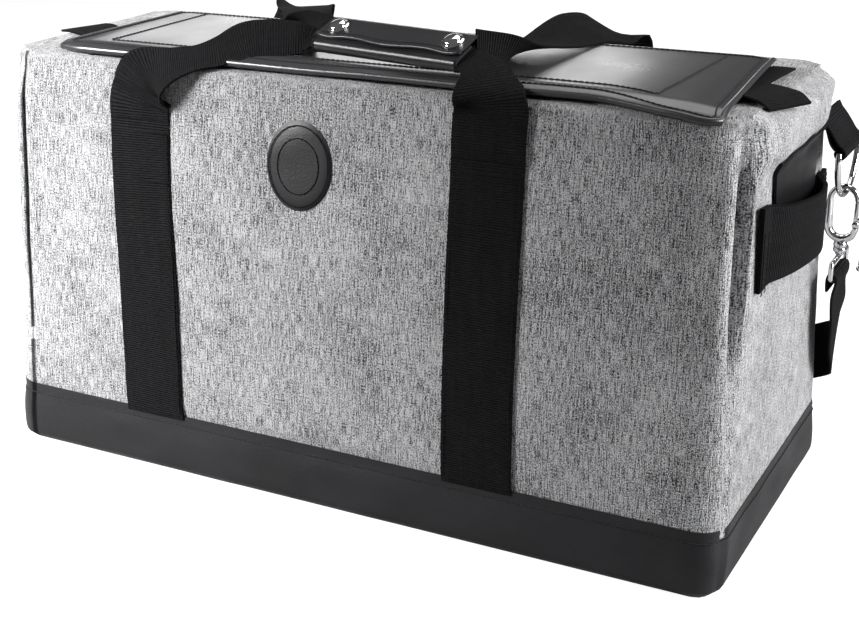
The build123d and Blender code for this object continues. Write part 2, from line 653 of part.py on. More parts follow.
def make_shoulder_strap(bar_z):
    """The strap's two hanging ends, its stretch behind the bag, the pad and the adjuster."""
    loop_in = EYE_BAR * 0.71 + GAP
    loop_out = loop_in + STRAP_THICK
    loop = Pos(RING_X, RING_Y, bar_z) * Rot(90, 0, 0) * Cylinder(loop_out, STRAP_WIDE)
    start = Vector(RING_X, RING_Y, bar_z - loop_in)
    corner_x, corner_y = half_length(80) + 6, half_depth(80) + 6
    drop = bar_z - STRAP_LOW_Z
    route = [
        (start, (1, 0, 0)),
        ((RING_X, RING_Y + 2, STRAP_LOW_Z + 0.851 * drop), (1, 0.1, 0)),
        ((corner_x + 5, RING_Y + 14, STRAP_LOW_Z + 0.669 * drop), (1, 0.25, 0)),
        ((corner_x, corner_y - 14, STRAP_LOW_Z + 0.446 * drop), (1, 0.5, 0)),
        ((corner_x - 14, corner_y + 4, STRAP_LOW_Z + 0.364 * drop), (0.6, 1, 0)),
        ((corner_x - 36, STRAP_Y, STRAP_LOW_Z + 0.248 * drop), (0.1, 1, 0)),
        ((STRAP_SPLIT_X + 32, STRAP_Y, STRAP_LOW_Z + 0.099 * drop), (0, 1, 0)),
        ((STRAP_SPLIT_X + 10, STRAP_Y, STRAP_LOW_Z), (0, 1, 0)),
        ((STRAP_SPLIT_X, STRAP_Y, STRAP_LOW_Z), (0, 1, 0)),
    ]
    end = path_ribbon([p for p, _ in route], [n for _, n in route], STRAP_WIDE, STRAP_THICK) + loop
    end -= Pos(RING_X, RING_Y, bar_z) * Rot(90, 0, 0) * Cylinder(loop_in, STRAP_WIDE + 2)
    save_pair("strap_end", solid(end))
    half = STRAP_WIDE / 2
    low = (-STRAP_SPLIT_X, STRAP_Y - STRAP_THICK / 2, STRAP_LOW_Z - half)
    middle = box(low, (STRAP_SPLIT_X, STRAP_Y + STRAP_THICK / 2, STRAP_LOW_Z + half))
    save("shoulder_strap", solid(middle))
    room_thick, room_tall = STRAP_THICK / 2 + GAP, half + GAP
    pad_y = STRAP_Y + PAD_THICK / 2 - 2 * GAP - STRAP_THICK
    pad = Pos(0, pad_y, STRAP_LOW_Z) * Box(PAD_LONG, PAD_THICK, PAD_TALL)
    pad = fillet(pad.edges().filter_by(Axis.Y), 8)
    pad -= Pos(0, STRAP_Y, STRAP_LOW_Z) * Box(PAD_LONG + 2, 2 * room_thick, 2 * room_tall)
    save("shoulder_pad", solid(pad))
    deep, tall = 2 * (room_thick + ADJUSTER_WALL / 2), 2 * (room_tall + ADJUSTER_WALL)
    adjuster = Box(ADJUSTER_LONG, deep, tall)
    adjuster -= Box(2 * ADJUSTER_LONG, 2 * room_thick, 2 * room_tall)
    window = (ADJUSTER_LONG - 3 * ADJUSTER_WALL) / 2
    for sign in (-1, 1):
        x = sign * (window + ADJUSTER_WALL) / 2
        adjuster -= Pos(x, room_thick + 1, 0) * Box(window, 2, 2 * room_tall)
    save("strap_adjuster", solid(Pos(ADJUSTER_X, STRAP_Y, STRAP_LOW_Z) * adjuster))


if __name__ == "__main__":
    os.makedirs("parts", exist_ok=True)
    make_shell()
    make_sewn_pieces()
    edges = make_top()
    make_slider()
    make_flap(*edges)
    make_grip()
    make_legs()
    make_closure_tabs()
    make_grab_handles()
    make_ring()
    make_shoulder_strap(make_clasp())
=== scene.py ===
"""Looks of the duffel bag: heather cloth over a leather-look base, webbing, a vinyl flap and chrome clasps.

Every length below is in millimetres in the part's own frame, and is turned to metres as a mesh is placed.
"""

import math
from math import atan2, cos, pi, radians, sin

import bpy
from mathutils import Matrix, Vector, noise


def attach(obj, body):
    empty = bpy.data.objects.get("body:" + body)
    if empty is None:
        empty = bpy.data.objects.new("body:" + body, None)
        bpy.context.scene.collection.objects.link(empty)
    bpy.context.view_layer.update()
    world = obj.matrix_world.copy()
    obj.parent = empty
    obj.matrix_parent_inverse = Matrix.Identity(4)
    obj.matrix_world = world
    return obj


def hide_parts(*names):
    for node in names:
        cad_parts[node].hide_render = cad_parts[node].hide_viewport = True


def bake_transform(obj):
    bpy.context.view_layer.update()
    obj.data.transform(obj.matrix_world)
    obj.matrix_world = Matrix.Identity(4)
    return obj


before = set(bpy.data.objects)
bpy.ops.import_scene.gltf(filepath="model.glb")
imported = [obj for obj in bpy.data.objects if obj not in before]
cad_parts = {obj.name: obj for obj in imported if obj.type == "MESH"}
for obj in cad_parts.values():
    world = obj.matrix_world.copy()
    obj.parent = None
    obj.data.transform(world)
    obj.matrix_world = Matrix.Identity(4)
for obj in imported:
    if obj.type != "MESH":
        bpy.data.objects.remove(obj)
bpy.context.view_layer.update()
bpy.ops.object.select_all(action="DESELECT")

MM = 0.001

# The bag's body, as the part has it.
BASE_LENGTH, TOP_LENGTH = 550.0, 546.0
BASE_DEPTH, TOP_DEPTH = 245.0, 180.0
HEIGHT = 292.0
BAND_TOP = 46.0
CORNER = 18.0
STRAPS_X = (-142.0, 114.0)
SEWN_TOP = 256.0
PATCH_X, PATCH_Z = -20.0, 237.0
ZIP_Y = -20.0
MOUTH = (-199.7, 177.7)
FLAP_LEFT, FLAP_RIGHT, FLAP_FRONT, FLAP_REAR = -225.0, 250.0, -86.0, 48.0
FLAP_TOP = 300.7
RING_Y, RING_Z = 80.0, 240.0
GRAB_Z = 205.0
STRAP_Y, STRAP_Z = 127.0, 32.0
STRAP_WIDE, SHOULDER_WIDE = 50.0, 38.0
STRAP_LEAN = -7.0
SEAM_PAST_CORNER = 21
PATCH_HALF_WIDE, PATCH_HALF_TALL = 25.0, 29.0
SNAP_X = 47
LEG_END_WIDE = 24
WEAVE_DEPTH = 0.0006
GRAIN_DEPTH = 0.0012
COAT_ROUGHNESS = 0.25
WHITE = (1, 1, 1, 1)
SEEN_GLOW = 0.9


# ---------------------------------------------------------------- mesh helpers


def half_length(z):
    return (BASE_LENGTH + (TOP_LENGTH - BASE_LENGTH) * z / HEIGHT) / 2


def half_depth(z):
    return (BASE_DEPTH + (TOP_DEPTH - BASE_DEPTH) * z / HEIGHT) / 2


def ease(t):
    """0 to 1, slow at both ends."""
    t = min(max(t, 0.0), 1.0)
    return t * t * (3 - 2 * t)


def hump(t, sharp=1.0):
    """0 at both ends of 0 to 1, and 1 in the middle."""
    return max(sin(pi * min(max(t, 0.0), 1.0)), 0.0) ** sharp


def near(value, centre, reach):
    """1 at the centre, falling to 0 at the reach."""
    return ease(1 - abs(value - centre) / reach)


def ripple(x, y, z, size, seed=0.0):
    """Smooth waves between -1 and 1, about size millimetres apart."""
    return noise.noise(Vector((x / size + seed, y / size + 7.3 * seed, z / size - seed)))


def in_edit(piece, *steps):
    """Run mesh operators on a piece with everything on it selected."""
    bpy.ops.object.select_all(action="DESELECT")
    bpy.context.view_layer.objects.active = piece
    piece.select_set(True)
    bpy.ops.object.mode_set(mode="EDIT")
    bpy.ops.mesh.select_all(action="SELECT")
    for step in steps:
        step()
    bpy.ops.object.mode_set(mode="OBJECT")
    piece.select_set(False)


def merge():
    bpy.ops.mesh.remove_doubles(threshold=0.00002)


def cap_ends():
    bpy.ops.mesh.fill_holes(sides=0)
    bpy.ops.mesh.select_all(action="SELECT")


def face_out():
    bpy.ops.mesh.normals_make_consistent(inside=False)


def apply(piece, kind, **settings):
    """Add a modifier with these settings and apply it."""
    bpy.context.view_layer.objects.active = piece
    modifier = piece.modifiers.new(kind.title(), kind)
    for setting, value in settings.items():
        setattr(modifier, setting, value)
    bpy.ops.object.modifier_apply(modifier=modifier.name)


def smooth(piece, angle=50):
    bpy.ops.object.select_all(action="DESELECT")
    piece.select_set(True)
    bpy.context.view_layer.objects.active = piece
    bpy.ops.object.shade_smooth_by_angle(angle=radians(angle))
    piece.select_set(False)


def dress(piece, finish):
    piece.data.materials.clear()
    piece.data.materials.append(finish)


def cloth_grid(name, columns, rows, place, wide, tall):
    """A grid shaped point by point, with its own map in metres of cloth."""
    bpy.ops.mesh.primitive_grid_add(x_subdivisions=columns, y_subdivisions=rows, size=1)
    piece = bpy.context.object
    piece.name = name
    for vertex in piece.data.vertices:
        vertex.co = Vector(place(vertex.co.x + 0.5, vertex.co.y + 0.5)) * MM
    for corner in piece.data.uv_layers.active.data:
        corner.uv = (corner.uv.x * wide * MM, corner.uv.y * tall * MM)
    piece.select_set(False)
    return piece


def sheet_of(name, columns, rows, place, wide, tall, thick, finish, side=-1):
    """A sheet of cloth with a thickness; side -1 grows it inwards from the placed face."""
    piece = cloth_grid(name, columns, rows, place, wide, tall)
    apply(piece, "SOLIDIFY", thickness=thick * MM, offset=side, use_even_offset=True)
    in_edit(piece, merge, face_out)
    smooth(piece)
    dress(piece, finish)
    return piece


def smooth_rows(stations, spacing):
    """Stations filled in with a smooth curve, at about this spacing along their first three numbers."""
    rows = []
    last = len(stations) - 1
    for i in range(last):
        a, b = stations[i], stations[i + 1]
        before, after = stations[max(i - 1, 0)], stations[min(i + 2, last)]
        steps = max(1, round(math.dist(a[:3], b[:3]) / spacing))
        for k in range(steps):
            t = k / steps
            t2, t3 = t * t, t * t * t
            rows.append(
                [
                    0.5 * (2 * q + (r - p) * t + (2 * p - 5 * q + 4 * r - s) * t2 + (3 * q - p - 3 * r + s) * t3)
                    for p, q, r, s in zip(before, a, b, after)
                ]
            )
    rows.append(list(stations[-1]))
    return rows


def swept(name, rows, outline, girth, finish, closed=False):
    """A closed outline carried along rows of (centre, across, out, wide, thick), capped at both ends."""
    count, last = len(outline), len(rows) - 1
    run = sum((rows[i + 1][0] - rows[i][0]).length for i in range(last))

    def place(u, v):
        a, n = outline[round(u * count) % count]
        centre, across, out, wide, thick = rows[round(v * last)]
        return centre + across * (a * wide) + out * (n * thick)

    piece = cloth_grid(name, count, last, place, girth, run)
    in_edit(piece, merge, *([] if closed else [cap_ends]), face_out)
    smooth(piece)
    dress(piece, finish)
    return piece


def framed(rows, closed=False):
    """Rows of x, y, z, across, wide, thick turned to centres with square frames."""
    points = [Vector(row[:3]) for row in rows]
    made = []
    for i, row in enumerate(rows):
        if closed:
            run = points[(i + 1) % (len(rows) - 1)] - points[i - 1 if i else len(rows) - 2]
        else:
            run = points[min(i + 1, len(rows) - 1)] - points[max(i - 1, 0)]
        run.normalize()
        across = Vector(row[3:6])
        across = (across - run * across.dot(run)).normalized()
        made.append((points[i], across, across.cross(run), row[6], row[7]))
    return made


def flat_outline(columns=8, edge=0.03):
    """The section of webbing or tape: flat faces and rounded edges, one wide and one thick."""
    between = [edge + (1 - 2 * edge) * k / columns for k in range(1, columns)]
    steps = [edge * 0.35, edge] + between + [1 - edge, 1 - edge * 0.35]
    top = [(s - 0.5, 0.5) for s in steps]
    return top + [(0.5, 0.0)] + [(-a, -0.5) for a, _ in top] + [(-0.5, 0.0)]


def round_outline(sides=10):
    """A round section of diameter one."""
    return [(0.5 * cos(2 * pi * k / sides), 0.5 * sin(2 * pi * k / sides)) for k in range(sides)]


def webbing(name, stations, finish, thick=1.6, spacing=4.0):
    """Webbing through stations of (x, y, z, across x, y, z, width)."""
    rows = framed([row + [thick] for row in smooth_rows([list(s) for s in stations], spacing)])
    wide = max(row[3] for row in rows)
    return swept(name, rows, flat_outline(edge=1.2 / wide), 2 * wide, finish)


def stitching(name, points, finish, pitch=3.8, radius=0.42, spacing=None):
    """A line of sewing through (x, y, z, outward x, y, z): thread that dips into the cloth after each stitch."""
    points = [list(p) for p in points]
    dense = smooth_rows(points, spacing or pitch / 6)
    run, rows = 0.0, []
    for i, row in enumerate(dense):
        if i:
            run += math.dist(row[:3], dense[i - 1][:3])
        out = Vector(row[3:6]).normalized()
        ahead, behind = dense[min(i + 1, len(dense) - 1)], dense[max(i - 1, 0)]
        along = (Vector(ahead[:3]) - Vector(behind[:3])).normalized()
        lift = radius * (1.7 * hump((run / pitch) % 1.0, 0.5) - 1.1)
        rows.append((Vector(row[:3]) + out * lift, out.cross(along).normalized(), out, 2 * radius, 2 * radius))
    return swept(name, rows, round_outline(5), 6 * radius, finish)


def joined(name, pieces):
    """Several pieces made one."""
    bpy.ops.object.select_all(action="DESELECT")
    for piece in pieces:
        piece.select_set(True)
    bpy.context.view_layer.objects.active = pieces[0]
    if len(pieces) > 1:
        bpy.ops.object.join()
    pieces[0].name = name
    pieces[0].select_set(False)
    return pieces[0]


def mirrored(piece, name):
    """A copy on the bag's other end, facing outwards."""
    twin = piece.copy()
    twin.data = piece.data.copy()
    twin.name = name
    bpy.context.collection.objects.link(twin)
    for vertex in twin.data.vertices:
        vertex.co.x = -vertex.co.x
    in_edit(twin, lambda: bpy.ops.mesh.flip_normals())
    return twin


# ---------------------------------------------------------------- finishes


def new_finish(name):
    """A material with its node tree and its Principled shader."""
    finish = bpy.data.materials.new(name)
    finish.use_nodes = True
    return finish, finish.node_tree, finish.node_tree.nodes["Principled BSDF"]


def wire(tree, socket, value):
    """Link a socket to another one, or set it to a number, a scale or a colour."""
    if isinstance(value, bpy.types.NodeSocket):
        tree.links.new(value, socket)
    else:
        socket.default_value = value


def add_node(tree, kind, inputs, **settings):
    """A shader node with its settings, and its inputs wired by name or number."""
    made = tree.nodes.new(f"ShaderNode{kind}")
    for key, value in settings.items():
        setattr(made, key, value)
    for key, value in inputs.items():
        wire(tree, made.inputs[key], value)
    return made


def set_shader(tree, shader, **values):
    """Set or link a shader's inputs, named with underscores for spaces."""
    for key, value in values.items():
        wire(tree, shader.inputs[key.replace("_", " ")], value)


def effect(name, inputs, outputs):
    """An empty shader node group with these inputs (name, kind, default) and outputs (name, kind)."""
    group = bpy.data.node_groups.new(name, "ShaderNodeTree")
    for label, kind, value in inputs:
        made = group.interface.new_socket(name=label, in_out="INPUT", socket_type=f"NodeSocket{kind}")
        if value is not None:
            made.default_value = value
    for label, kind in outputs:
        group.interface.new_socket(name=label, in_out="OUTPUT", socket_type=f"NodeSocket{kind}")
    return group, group.nodes.new("NodeGroupInput"), group.nodes.new("NodeGroupOutput")


def speckle(tree, vector, scale, detail=2.0):
    """Soft noise, its coordinates multiplied by three scales."""
    stretched = add_node(tree, "Mapping", {"Scale": scale, "Vector": vector}).outputs["Vector"]
    return add_node(tree, "TexNoise", {"Scale": 1.0, "Detail": detail, "Vector": stretched}).outputs["Fac"]


def sums(tree, kind, a, b, clamp=False):
    """One step of arithmetic between sockets or numbers."""
    return add_node(tree, "Math", {0: a, 1: b}, operation=kind, use_clamp=clamp).outputs[0]


def weighted(tree, *parts):
    """The sum of (value, weight) pairs."""
    total = None
    for value, weight in parts:
        part = sums(tree, "MULTIPLY", value, weight)
        total = part if total is None else sums(tree, "ADD", total, part)
    return total


def spread(tree, value, low, high, to_low=0.0, to_high=1.0):
    """A value stretched from one range to another and held inside it."""
    ends = {"Value": value, "From Min": low, "From Max": high, "To Min": to_low, "To Max": to_high}
    return add_node(tree, "MapRange", ends).outputs["Result"]


def blended(tree, amount, a, b):
    """Two colours mixed by an amount."""
    return add_node(tree, "Mix", {0: amount, 6: a, 7: b}, data_type="RGBA").outputs[2]


def waves(tree, vector, axis, per_metre):
    """Fine ridges square to one axis of the map."""
    inputs = {"Scale": per_metre * 2 * pi / 20, "Distortion": 0.0, "Detail": 0.0, "Vector": vector}
    return add_node(tree, "TexWave", inputs, bands_direction=axis).outputs["Fac"]


def heather_weave():
    """Two-tone yarn: pepper and salt at thread size, with long upright slubs."""
    group, given, result = effect(
        "heather weave",
        [
            ("Vector", "Vector", None),
            ("Light Yarn", "Color", (0.62, 0.62, 0.63, 1)),
            ("Dark Yarn", "Color", (0.03, 0.03, 0.033, 1)),
            ("Darkness", "Float", 0.5),
        ],
        [("Color", "Color"), ("Height", "Float")],
    )
    ask = given.outputs
    vector = ask["Vector"]
    pepper = speckle(group, vector, (1500, 900, 1), 1.0)
    slub = speckle(group, vector, (1150, 105, 1), 2.0)
    weft = speckle(group, vector, (130, 1700, 1), 1.0)
    cloud = sums(group, "SUBTRACT", speckle(group, vector, (26, 18, 1), 2.0), 0.5)
    mixed = weighted(group, (pepper, 0.46), (slub, 0.38), (weft, 0.12), (cloud, 0.10))
    darker = sums(group, "MULTIPLY", sums(group, "SUBTRACT", ask["Darkness"], 0.5), 0.12)
    light = spread(group, sums(group, "SUBTRACT", mixed, darker), 0.39, 0.55)
    wire(group, result.inputs["Color"], blended(group, light, ask["Dark Yarn"], ask["Light Yarn"]))
    warp, fill = waves(group, vector, "X", 900), waves(group, vector, "Y", 900)
    wire(group, result.inputs["Height"], weighted(group, (warp, fill), (pepper, 0.9)))
    return group


def ribbed_weave():
    """Webbing: fine ribs across the band, crossed by its lengthwise yarns."""
    group, given, result = effect(
        "ribbed weave",
        [
            ("Vector", "Vector", None),
            ("Yarn", "Color", (0.012, 0.012, 0.013, 1)),
            ("Shine", "Color", (0.05, 0.05, 0.055, 1)),
            ("Ribs", "Float", 1.0),
        ],
        [("Color", "Color"), ("Height", "Float")],
    )
    ask = given.outputs
    vector = ask["Vector"]
    rib = waves(group, vector, "Y", 620)
    yarn = waves(group, vector, "X", 900)
    fuzz = speckle(group, vector, (500, 500, 1), 2.0)
    streak = speckle(group, vector, (260, 22, 1), 2.0)
    wire(group, result.inputs["Height"], weighted(group, (rib, ask["Ribs"]), (yarn, 0.4), (fuzz, 0.4)))
    tone = sums(group, "MULTIPLY", weighted(group, (rib, 0.35), (streak, 0.75)), fuzz, clamp=True)
    wire(group, result.inputs["Color"], blended(group, tone, ask["Yarn"], ask["Shine"]))
    return group


def leather_grain():
    """Pebbled grain with soft creases, and a mask of where hands have polished it."""
    group, given, result = effect(
        "leather grain",
        [("Vector", "Vector", None), ("Grain Size", "Float", 900.0), ("Creases", "Float", 0.4)],
        [("Height", "Float"), ("Rubbed", "Float")],
    )
    ask = given.outputs
    vector = ask["Vector"]
    cells = add_node(group, "TexVoronoi", {"Vector": vector, "Scale": ask["Grain Size"]}, feature="SMOOTH_F1")
    crease = speckle(group, vector, (38, 38, 60), 4.0)
    wire(group, result.inputs["Height"], weighted(group, (cells.outputs["Distance"], 0.35), (crease, ask["Creases"])))
    wire(group, result.inputs["Rubbed"], spread(group, speckle(group, vector, (14, 14, 22), 3.0), 0.35, 0.7))
    return group


HEATHER, RIBBED, GRAIN = heather_weave(), ribbed_weave(), leather_grain()


def relief(tree, height, strength, distance):
    """A surface direction bumped by a height."""
    return add_node(tree, "Bump", {"Strength": strength, "Distance": distance, "Height": height}).outputs["Normal"]


def patterned(name, group, values, on_map, bump, depth, **shader):
    """A finish from one effect group, with its height as a bump and these shader inputs."""
    finish, tree, base = new_finish(name)
    place = add_node(tree, "TexCoord", {}).outputs["UV" if on_map else "Object"]
    used = add_node(tree, "Group", {"Vector": place, **values}, node_tree=group).outputs
    set_shader(tree, base, Normal=relief(tree, used["Height"], bump, depth), **shader)
    return finish, tree, base, used


def heather(name, light, dark, darkness):
    """Heather cloth in two yarns."""
    values = {"Light Yarn": (*light, 1), "Dark Yarn": (*dark, 1), "Darkness": darkness}
    finish, tree, base, used = patterned(name, HEATHER, values, True, 0.55, WEAVE_DEPTH, Roughness=0.92)
    set_shader(tree, base, Base_Color=used["Color"], Sheen_Weight=0.12, Sheen_Roughness=0.6, Specular_IOR_Level=0.2)
    return finish


def webbing_finish(name, yarn, shine, ribs=1.0, bump=0.6):
    """Ribbed webbing, tape, plain cloth or thread."""
    values = {"Yarn": (*yarn, 1), "Shine": (*shine, 1), "Ribs": ribs}
    finish, tree, base, used = patterned(name, RIBBED, values, True, bump, WEAVE_DEPTH, Roughness=0.8)
    set_shader(tree, base, Base_Color=used["Color"], Specular_IOR_Level=0.07)
    return finish


def leather(name, colour, rubbed, rough, worn_rough, bump, grain=900.0, creases=0.4, coat=0.0, gloss=0.3):
    """Leather look: grain relief, with colour and gloss that vary where it is rubbed."""
    values = {"Grain Size": grain, "Creases": creases}
    finish, tree, base, used = patterned(name, GRAIN, values, False, bump, GRAIN_DEPTH, Specular_IOR_Level=gloss)
    tone = blended(tree, used["Rubbed"], (*colour, 1), (*rubbed, 1))
    worn = spread(tree, used["Rubbed"], 0, 1, rough, worn_rough)
    set_shader(tree, base, Base_Color=tone, Roughness=worn, Coat_Weight=coat, Coat_Roughness=COAT_ROUGHNESS)
    return finish


def metal(name, colour, rough, metallic=1.0):
    """Polished or painted metal with faint handling marks, and painted shade darkening its colour on the faces turned
    from the eye.
    """
    finish, tree, base = new_finish(name)
    place = add_node(tree, "TexCoord", {}).outputs["Object"]
    marks = speckle(tree, place, (420, 420, 900), 4.0)
    facing = add_node(tree, "LayerWeight", {"Blend": 0.5}).outputs["Facing"]
    # Painted shade: the colour falls to a tenth on faces turned from the eye, standing in for dark reflections.
    tone = blended(tree, spread(tree, facing, 0.45, 0.88), (*colour, 1), (*[c * 0.1 for c in colour], 1))
    gloss = spread(tree, marks, 0.3, 0.75, rough * 0.7, rough * 1.5)
    set_shader(tree, base, Roughness=gloss, Base_Color=tone, Metallic=metallic)
    return finish


def moulded(name, colour, rough):
    """Moulded plastic or stiff board, with a fine even texture."""
    finish, tree, base = new_finish(name)
    place = add_node(tree, "TexCoord", {}).outputs["Object"]
    fine = speckle(tree, place, (1500, 1500, 1500), 3.0)
    gloss = spread(tree, fine, 0.3, 0.7, rough - 0.06, rough + 0.08)
    set_shader(tree, base, Roughness=gloss, Normal=relief(tree, fine, 0.15, 0.0002), Base_Color=(*colour, 1))
    return finish


heather_cloth = heather("heather_cloth", (0.43, 0.43, 0.437), (0.007, 0.007, 0.009), 0.5)
black_webbing = webbing_finish("black_webbing", (0.002, 0.002, 0.0023), (0.020, 0.020, 0.022), 1.4, 0.9)
fine_webbing = webbing_finish("fine_webbing", (0.006, 0.006, 0.007), (0.03, 0.03, 0.034), 0.5, 0.4)
base_leather = leather("base_leather", (0.008, 0.008, 0.009), (0.015, 0.015, 0.017), 0.48, 0.36, 0.45, 900.0, 0.8)
flap_vinyl = leather(
    "flap_vinyl", (0.020, 0.020, 0.022), (0.032, 0.032, 0.034), 0.36, 0.26, 0.18, 1300.0, 0.9, coat=0.2, gloss=0.6,
)
wrap_leather = leather("wrap_leather", (0.010, 0.010, 0.011), (0.018, 0.018, 0.02), 0.36, 0.26, 0.3, 1500.0, 0.3, 0.1)
patch_leather = leather("patch_leather", (0.010, 0.010, 0.011), (0.018, 0.018, 0.02), 0.5, 0.42, 0.35, 1100.0, 0.3)
end_vinyl = leather("end_vinyl", (0.003, 0.003, 0.0035), (0.006, 0.006, 0.007), 0.5, 0.4, 0.3, 1100.0, 0.9, 0.0, 0.12)
zip_tape = webbing_finish("zip_tape", (0.010, 0.010, 0.011), (0.03, 0.03, 0.033), 0.6, 0.4)
lining_cloth = webbing_finish("lining_cloth", (0.012, 0.012, 0.013), (0.05, 0.05, 0.055), 0.4, 0.3)
pad_cloth = webbing_finish("pad_cloth", (0.010, 0.010, 0.011), (0.04, 0.04, 0.044), 0.8, 0.5)
napped_tape = webbing_finish("napped_tape", (0.012, 0.012, 0.012), (0.06, 0.06, 0.065), 0.3, 1.0)
dark_thread = webbing_finish("dark_thread", (0.010, 0.010, 0.011), (0.05, 0.05, 0.055), 0.2, 0.2)
black_thread = webbing_finish("black_thread", (0.004, 0.004, 0.004), (0.02, 0.02, 0.022), 0.2, 0.2)
chrome = metal("chrome", (0.86, 0.86, 0.87), 0.09)
dark_metal = metal("dark_metal", (0.03, 0.03, 0.032), 0.35, 0.6)
coil_nylon = moulded("coil_nylon", (0.012, 0.012, 0.013), 0.4)
black_plastic = moulded("black_plastic", (0.012, 0.012, 0.013), 0.42)
stiff_board = moulded("stiff_board", (0.05, 0.05, 0.052), 0.7)


# ---------------------------------------------------------------- the bag's skin

CORNER_RUN = pi / 2 * CORNER
LONG_RUN = BASE_LENGTH - 2 * CORNER
SHORT_RUN = 209.0
SIDES = (("front", LONG_RUN), ("corner", CORNER_RUN), ("right", SHORT_RUN), ("corner", CORNER_RUN)) * 2
PERIMETER = sum(run for _, run in SIDES)


def outline_point(s, z, inset=0.0):
    """The spot and outward direction on the bag's outline, s millimetres from the front wall's left end."""
    hx, hy = half_length(z) - inset, half_depth(z) - inset
    round_by = CORNER - min(inset, CORNER - 6)
    s %= PERIMETER
    for k, (_, run) in enumerate(SIDES):
        if s <= run:
            break
        s -= run
    part = s / run
    side = k // 2
    corner = k % 2
    ends = [(-hx, -hy), (hx, -hy), (hx, hy), (-hx, hy)]
    (x0, y0), (x1, y1) = ends[side], ends[(side + 1) % 4]
    along = Vector((x1 - x0, y1 - y0, 0)).normalized()
    out = Vector((along.y, -along.x, 0))
    if not corner:
        a = Vector((x0, y0, 0)) + along * round_by
        b = Vector((x1, y1, 0)) - along * round_by
        return a.lerp(b, part), out, side, part, False
    angle = part * pi / 2
    centre = Vector((x1, y1, 0)) - along * round_by - out * round_by
    way = out * cos(angle) + along * sin(angle)
    return centre + way * round_by, way, side, part, True


def corner_distance(s):
    """How far round the bag from the nearest end of a long wall, positive on the end wall's side."""
    s %= PERIMETER
    half = PERIMETER / 2
    t = s % half
    return min(t - LONG_RUN, half - t, key=abs) if t > LONG_RUN / 2 else -t


def skin(s, z, lift=0.0):
    """A spot on the filled bag's cloth: the CAD wall, swelled, creased at its seams and rumpled near the top."""
    spot, out, side, part, corner = outline_point(s, z)
    up = (z - BAND_TOP) / (HEIGHT - BAND_TOP)
    swell = 0.0
    if not corner:
        fullness = 7.5 if side % 2 == 0 else 4.0
        swell = fullness * hump(part, 0.7) * hump(min(max(up, 0), 1) * 0.94 + 0.03, 0.8)
    swell += 1.5 * ripple(spot.x, spot.y, z, 90, 1.0) + 0.5 * ripple(spot.x, spot.y, z, 34, 2.0)
    high = ease((z - 225) / 60)
    if side % 2 == 0:
        # The handles' straps hold the cloth flat beneath them.
        high *= 1 - max(ease((58 - abs(spot.x - x)) / 26) for x in STRAPS_X)
    swell += (1.9 + 1.6 * ease((spot.x - 110) / 80)) * high * ripple(spot.x, spot.y, 1.6 * z, 34, 3.0)
    # The seam sits just round the corner on the end wall, and pulls a deep fold in.
    past = abs(corner_distance(s))
    fold = ease((z - 118) / 70) * ease((284 - z) / 34)
    centre = SEAM_PAST_CORNER - 5 * (z - 46) / 240
    if corner_distance(s) > 0:
        seam = 2.4 * ease((z - 46) / 14) * max(0.0, 1 - abs(past - centre) / 3.2)
        swell -= seam + 9.5 * fold * ease(1 - abs(past - centre) / 8.5)
    swell += 2.6 * fold * near(past, 5, 8)
    swell -= 7.0 * ease((z - 256) / 32) * near(corner_distance(s), CORNER_RUN / 2, 24)
    if side % 2 and not corner:
        # The top of each end wall rolls out over the pieces sewn below it.
        rolled = ease((z - 252) / 16) * ease((HEIGHT + 6 - z) / 14)
        swell += 8.5 * rolled * hump(part * 0.9 + 0.05, 0.35)
    swell *= ease((z - BAND_TOP + 3) / 10)
    return Vector((spot.x, spot.y, z)) + out * (swell + lift), out


def rim_inset(s):
    """How far the top edge rolls in: little along the leaves, more round the ends."""
    spot, *_ = outline_point(s, HEIGHT)
    return 4.0 + 5.0 * max(ease((abs(spot.x) - 232) / 30), 0.0)


def wall_place(u, v):
    """The walls' cloth from under the base band's top edge, up the walls and over the top's rim."""
    s = u * PERIMETER
    roll = rim_inset(s)
    straight = HEIGHT - roll
    share = 0.86
    if v <= share:
        z = 40.0 + (straight - 40.0) * (v / share)
        spot, _ = skin(s, z)
        return spot
    angle = (v - share) / (1 - share) * radians(118)
    spot, out = skin(s, straight)
    rumple = 1.1 * ripple(spot.x, spot.y, 40 * angle, 24, 4.0)
    settle = ease(angle / radians(60))
    flat, *_ = outline_point(s, HEIGHT)
    drift = (spot - Vector((flat.x, flat.y, spot.z))) * settle * 0.75
    spot = spot - drift - out * (roll * (1 - cos(angle)))
    spot.z = straight + roll * sin(min(angle, pi / 2)) + rumple * (0.4 + settle * 0.4)
    return spot


def front_spot(x, z, lift=0.0, side="front"):
    """A spot on the front or rear wall's cloth, this far proud of it."""
    reach = half_length(z) - CORNER
    part = (x + reach) / (2 * reach)
    s = part * LONG_RUN if side == "front" else PERIMETER / 2 + (1 - part) * LONG_RUN
    return skin(s, z, lift)[0]


def end_spot(y, z, lift=0.0, side=1):
    """A spot on an end wall's cloth."""
    reach = half_depth(z) - CORNER
    part = (y + reach) / (2 * reach)
    if side > 0:
        s = LONG_RUN + CORNER_RUN + part * SHORT_RUN
    else:
        s = PERIMETER / 2 + LONG_RUN + CORNER_RUN + (1 - part) * SHORT_RUN
    return skin(s, z, lift)[0]


bag_walls = sheet_of("bag_walls", 460, 130, wall_place, PERIMETER, 270, 2.2, heather_cloth)
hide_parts("front_panel", "rear_panel", "left_end_panel", "right_end_panel")
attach(bag_walls, "bag")


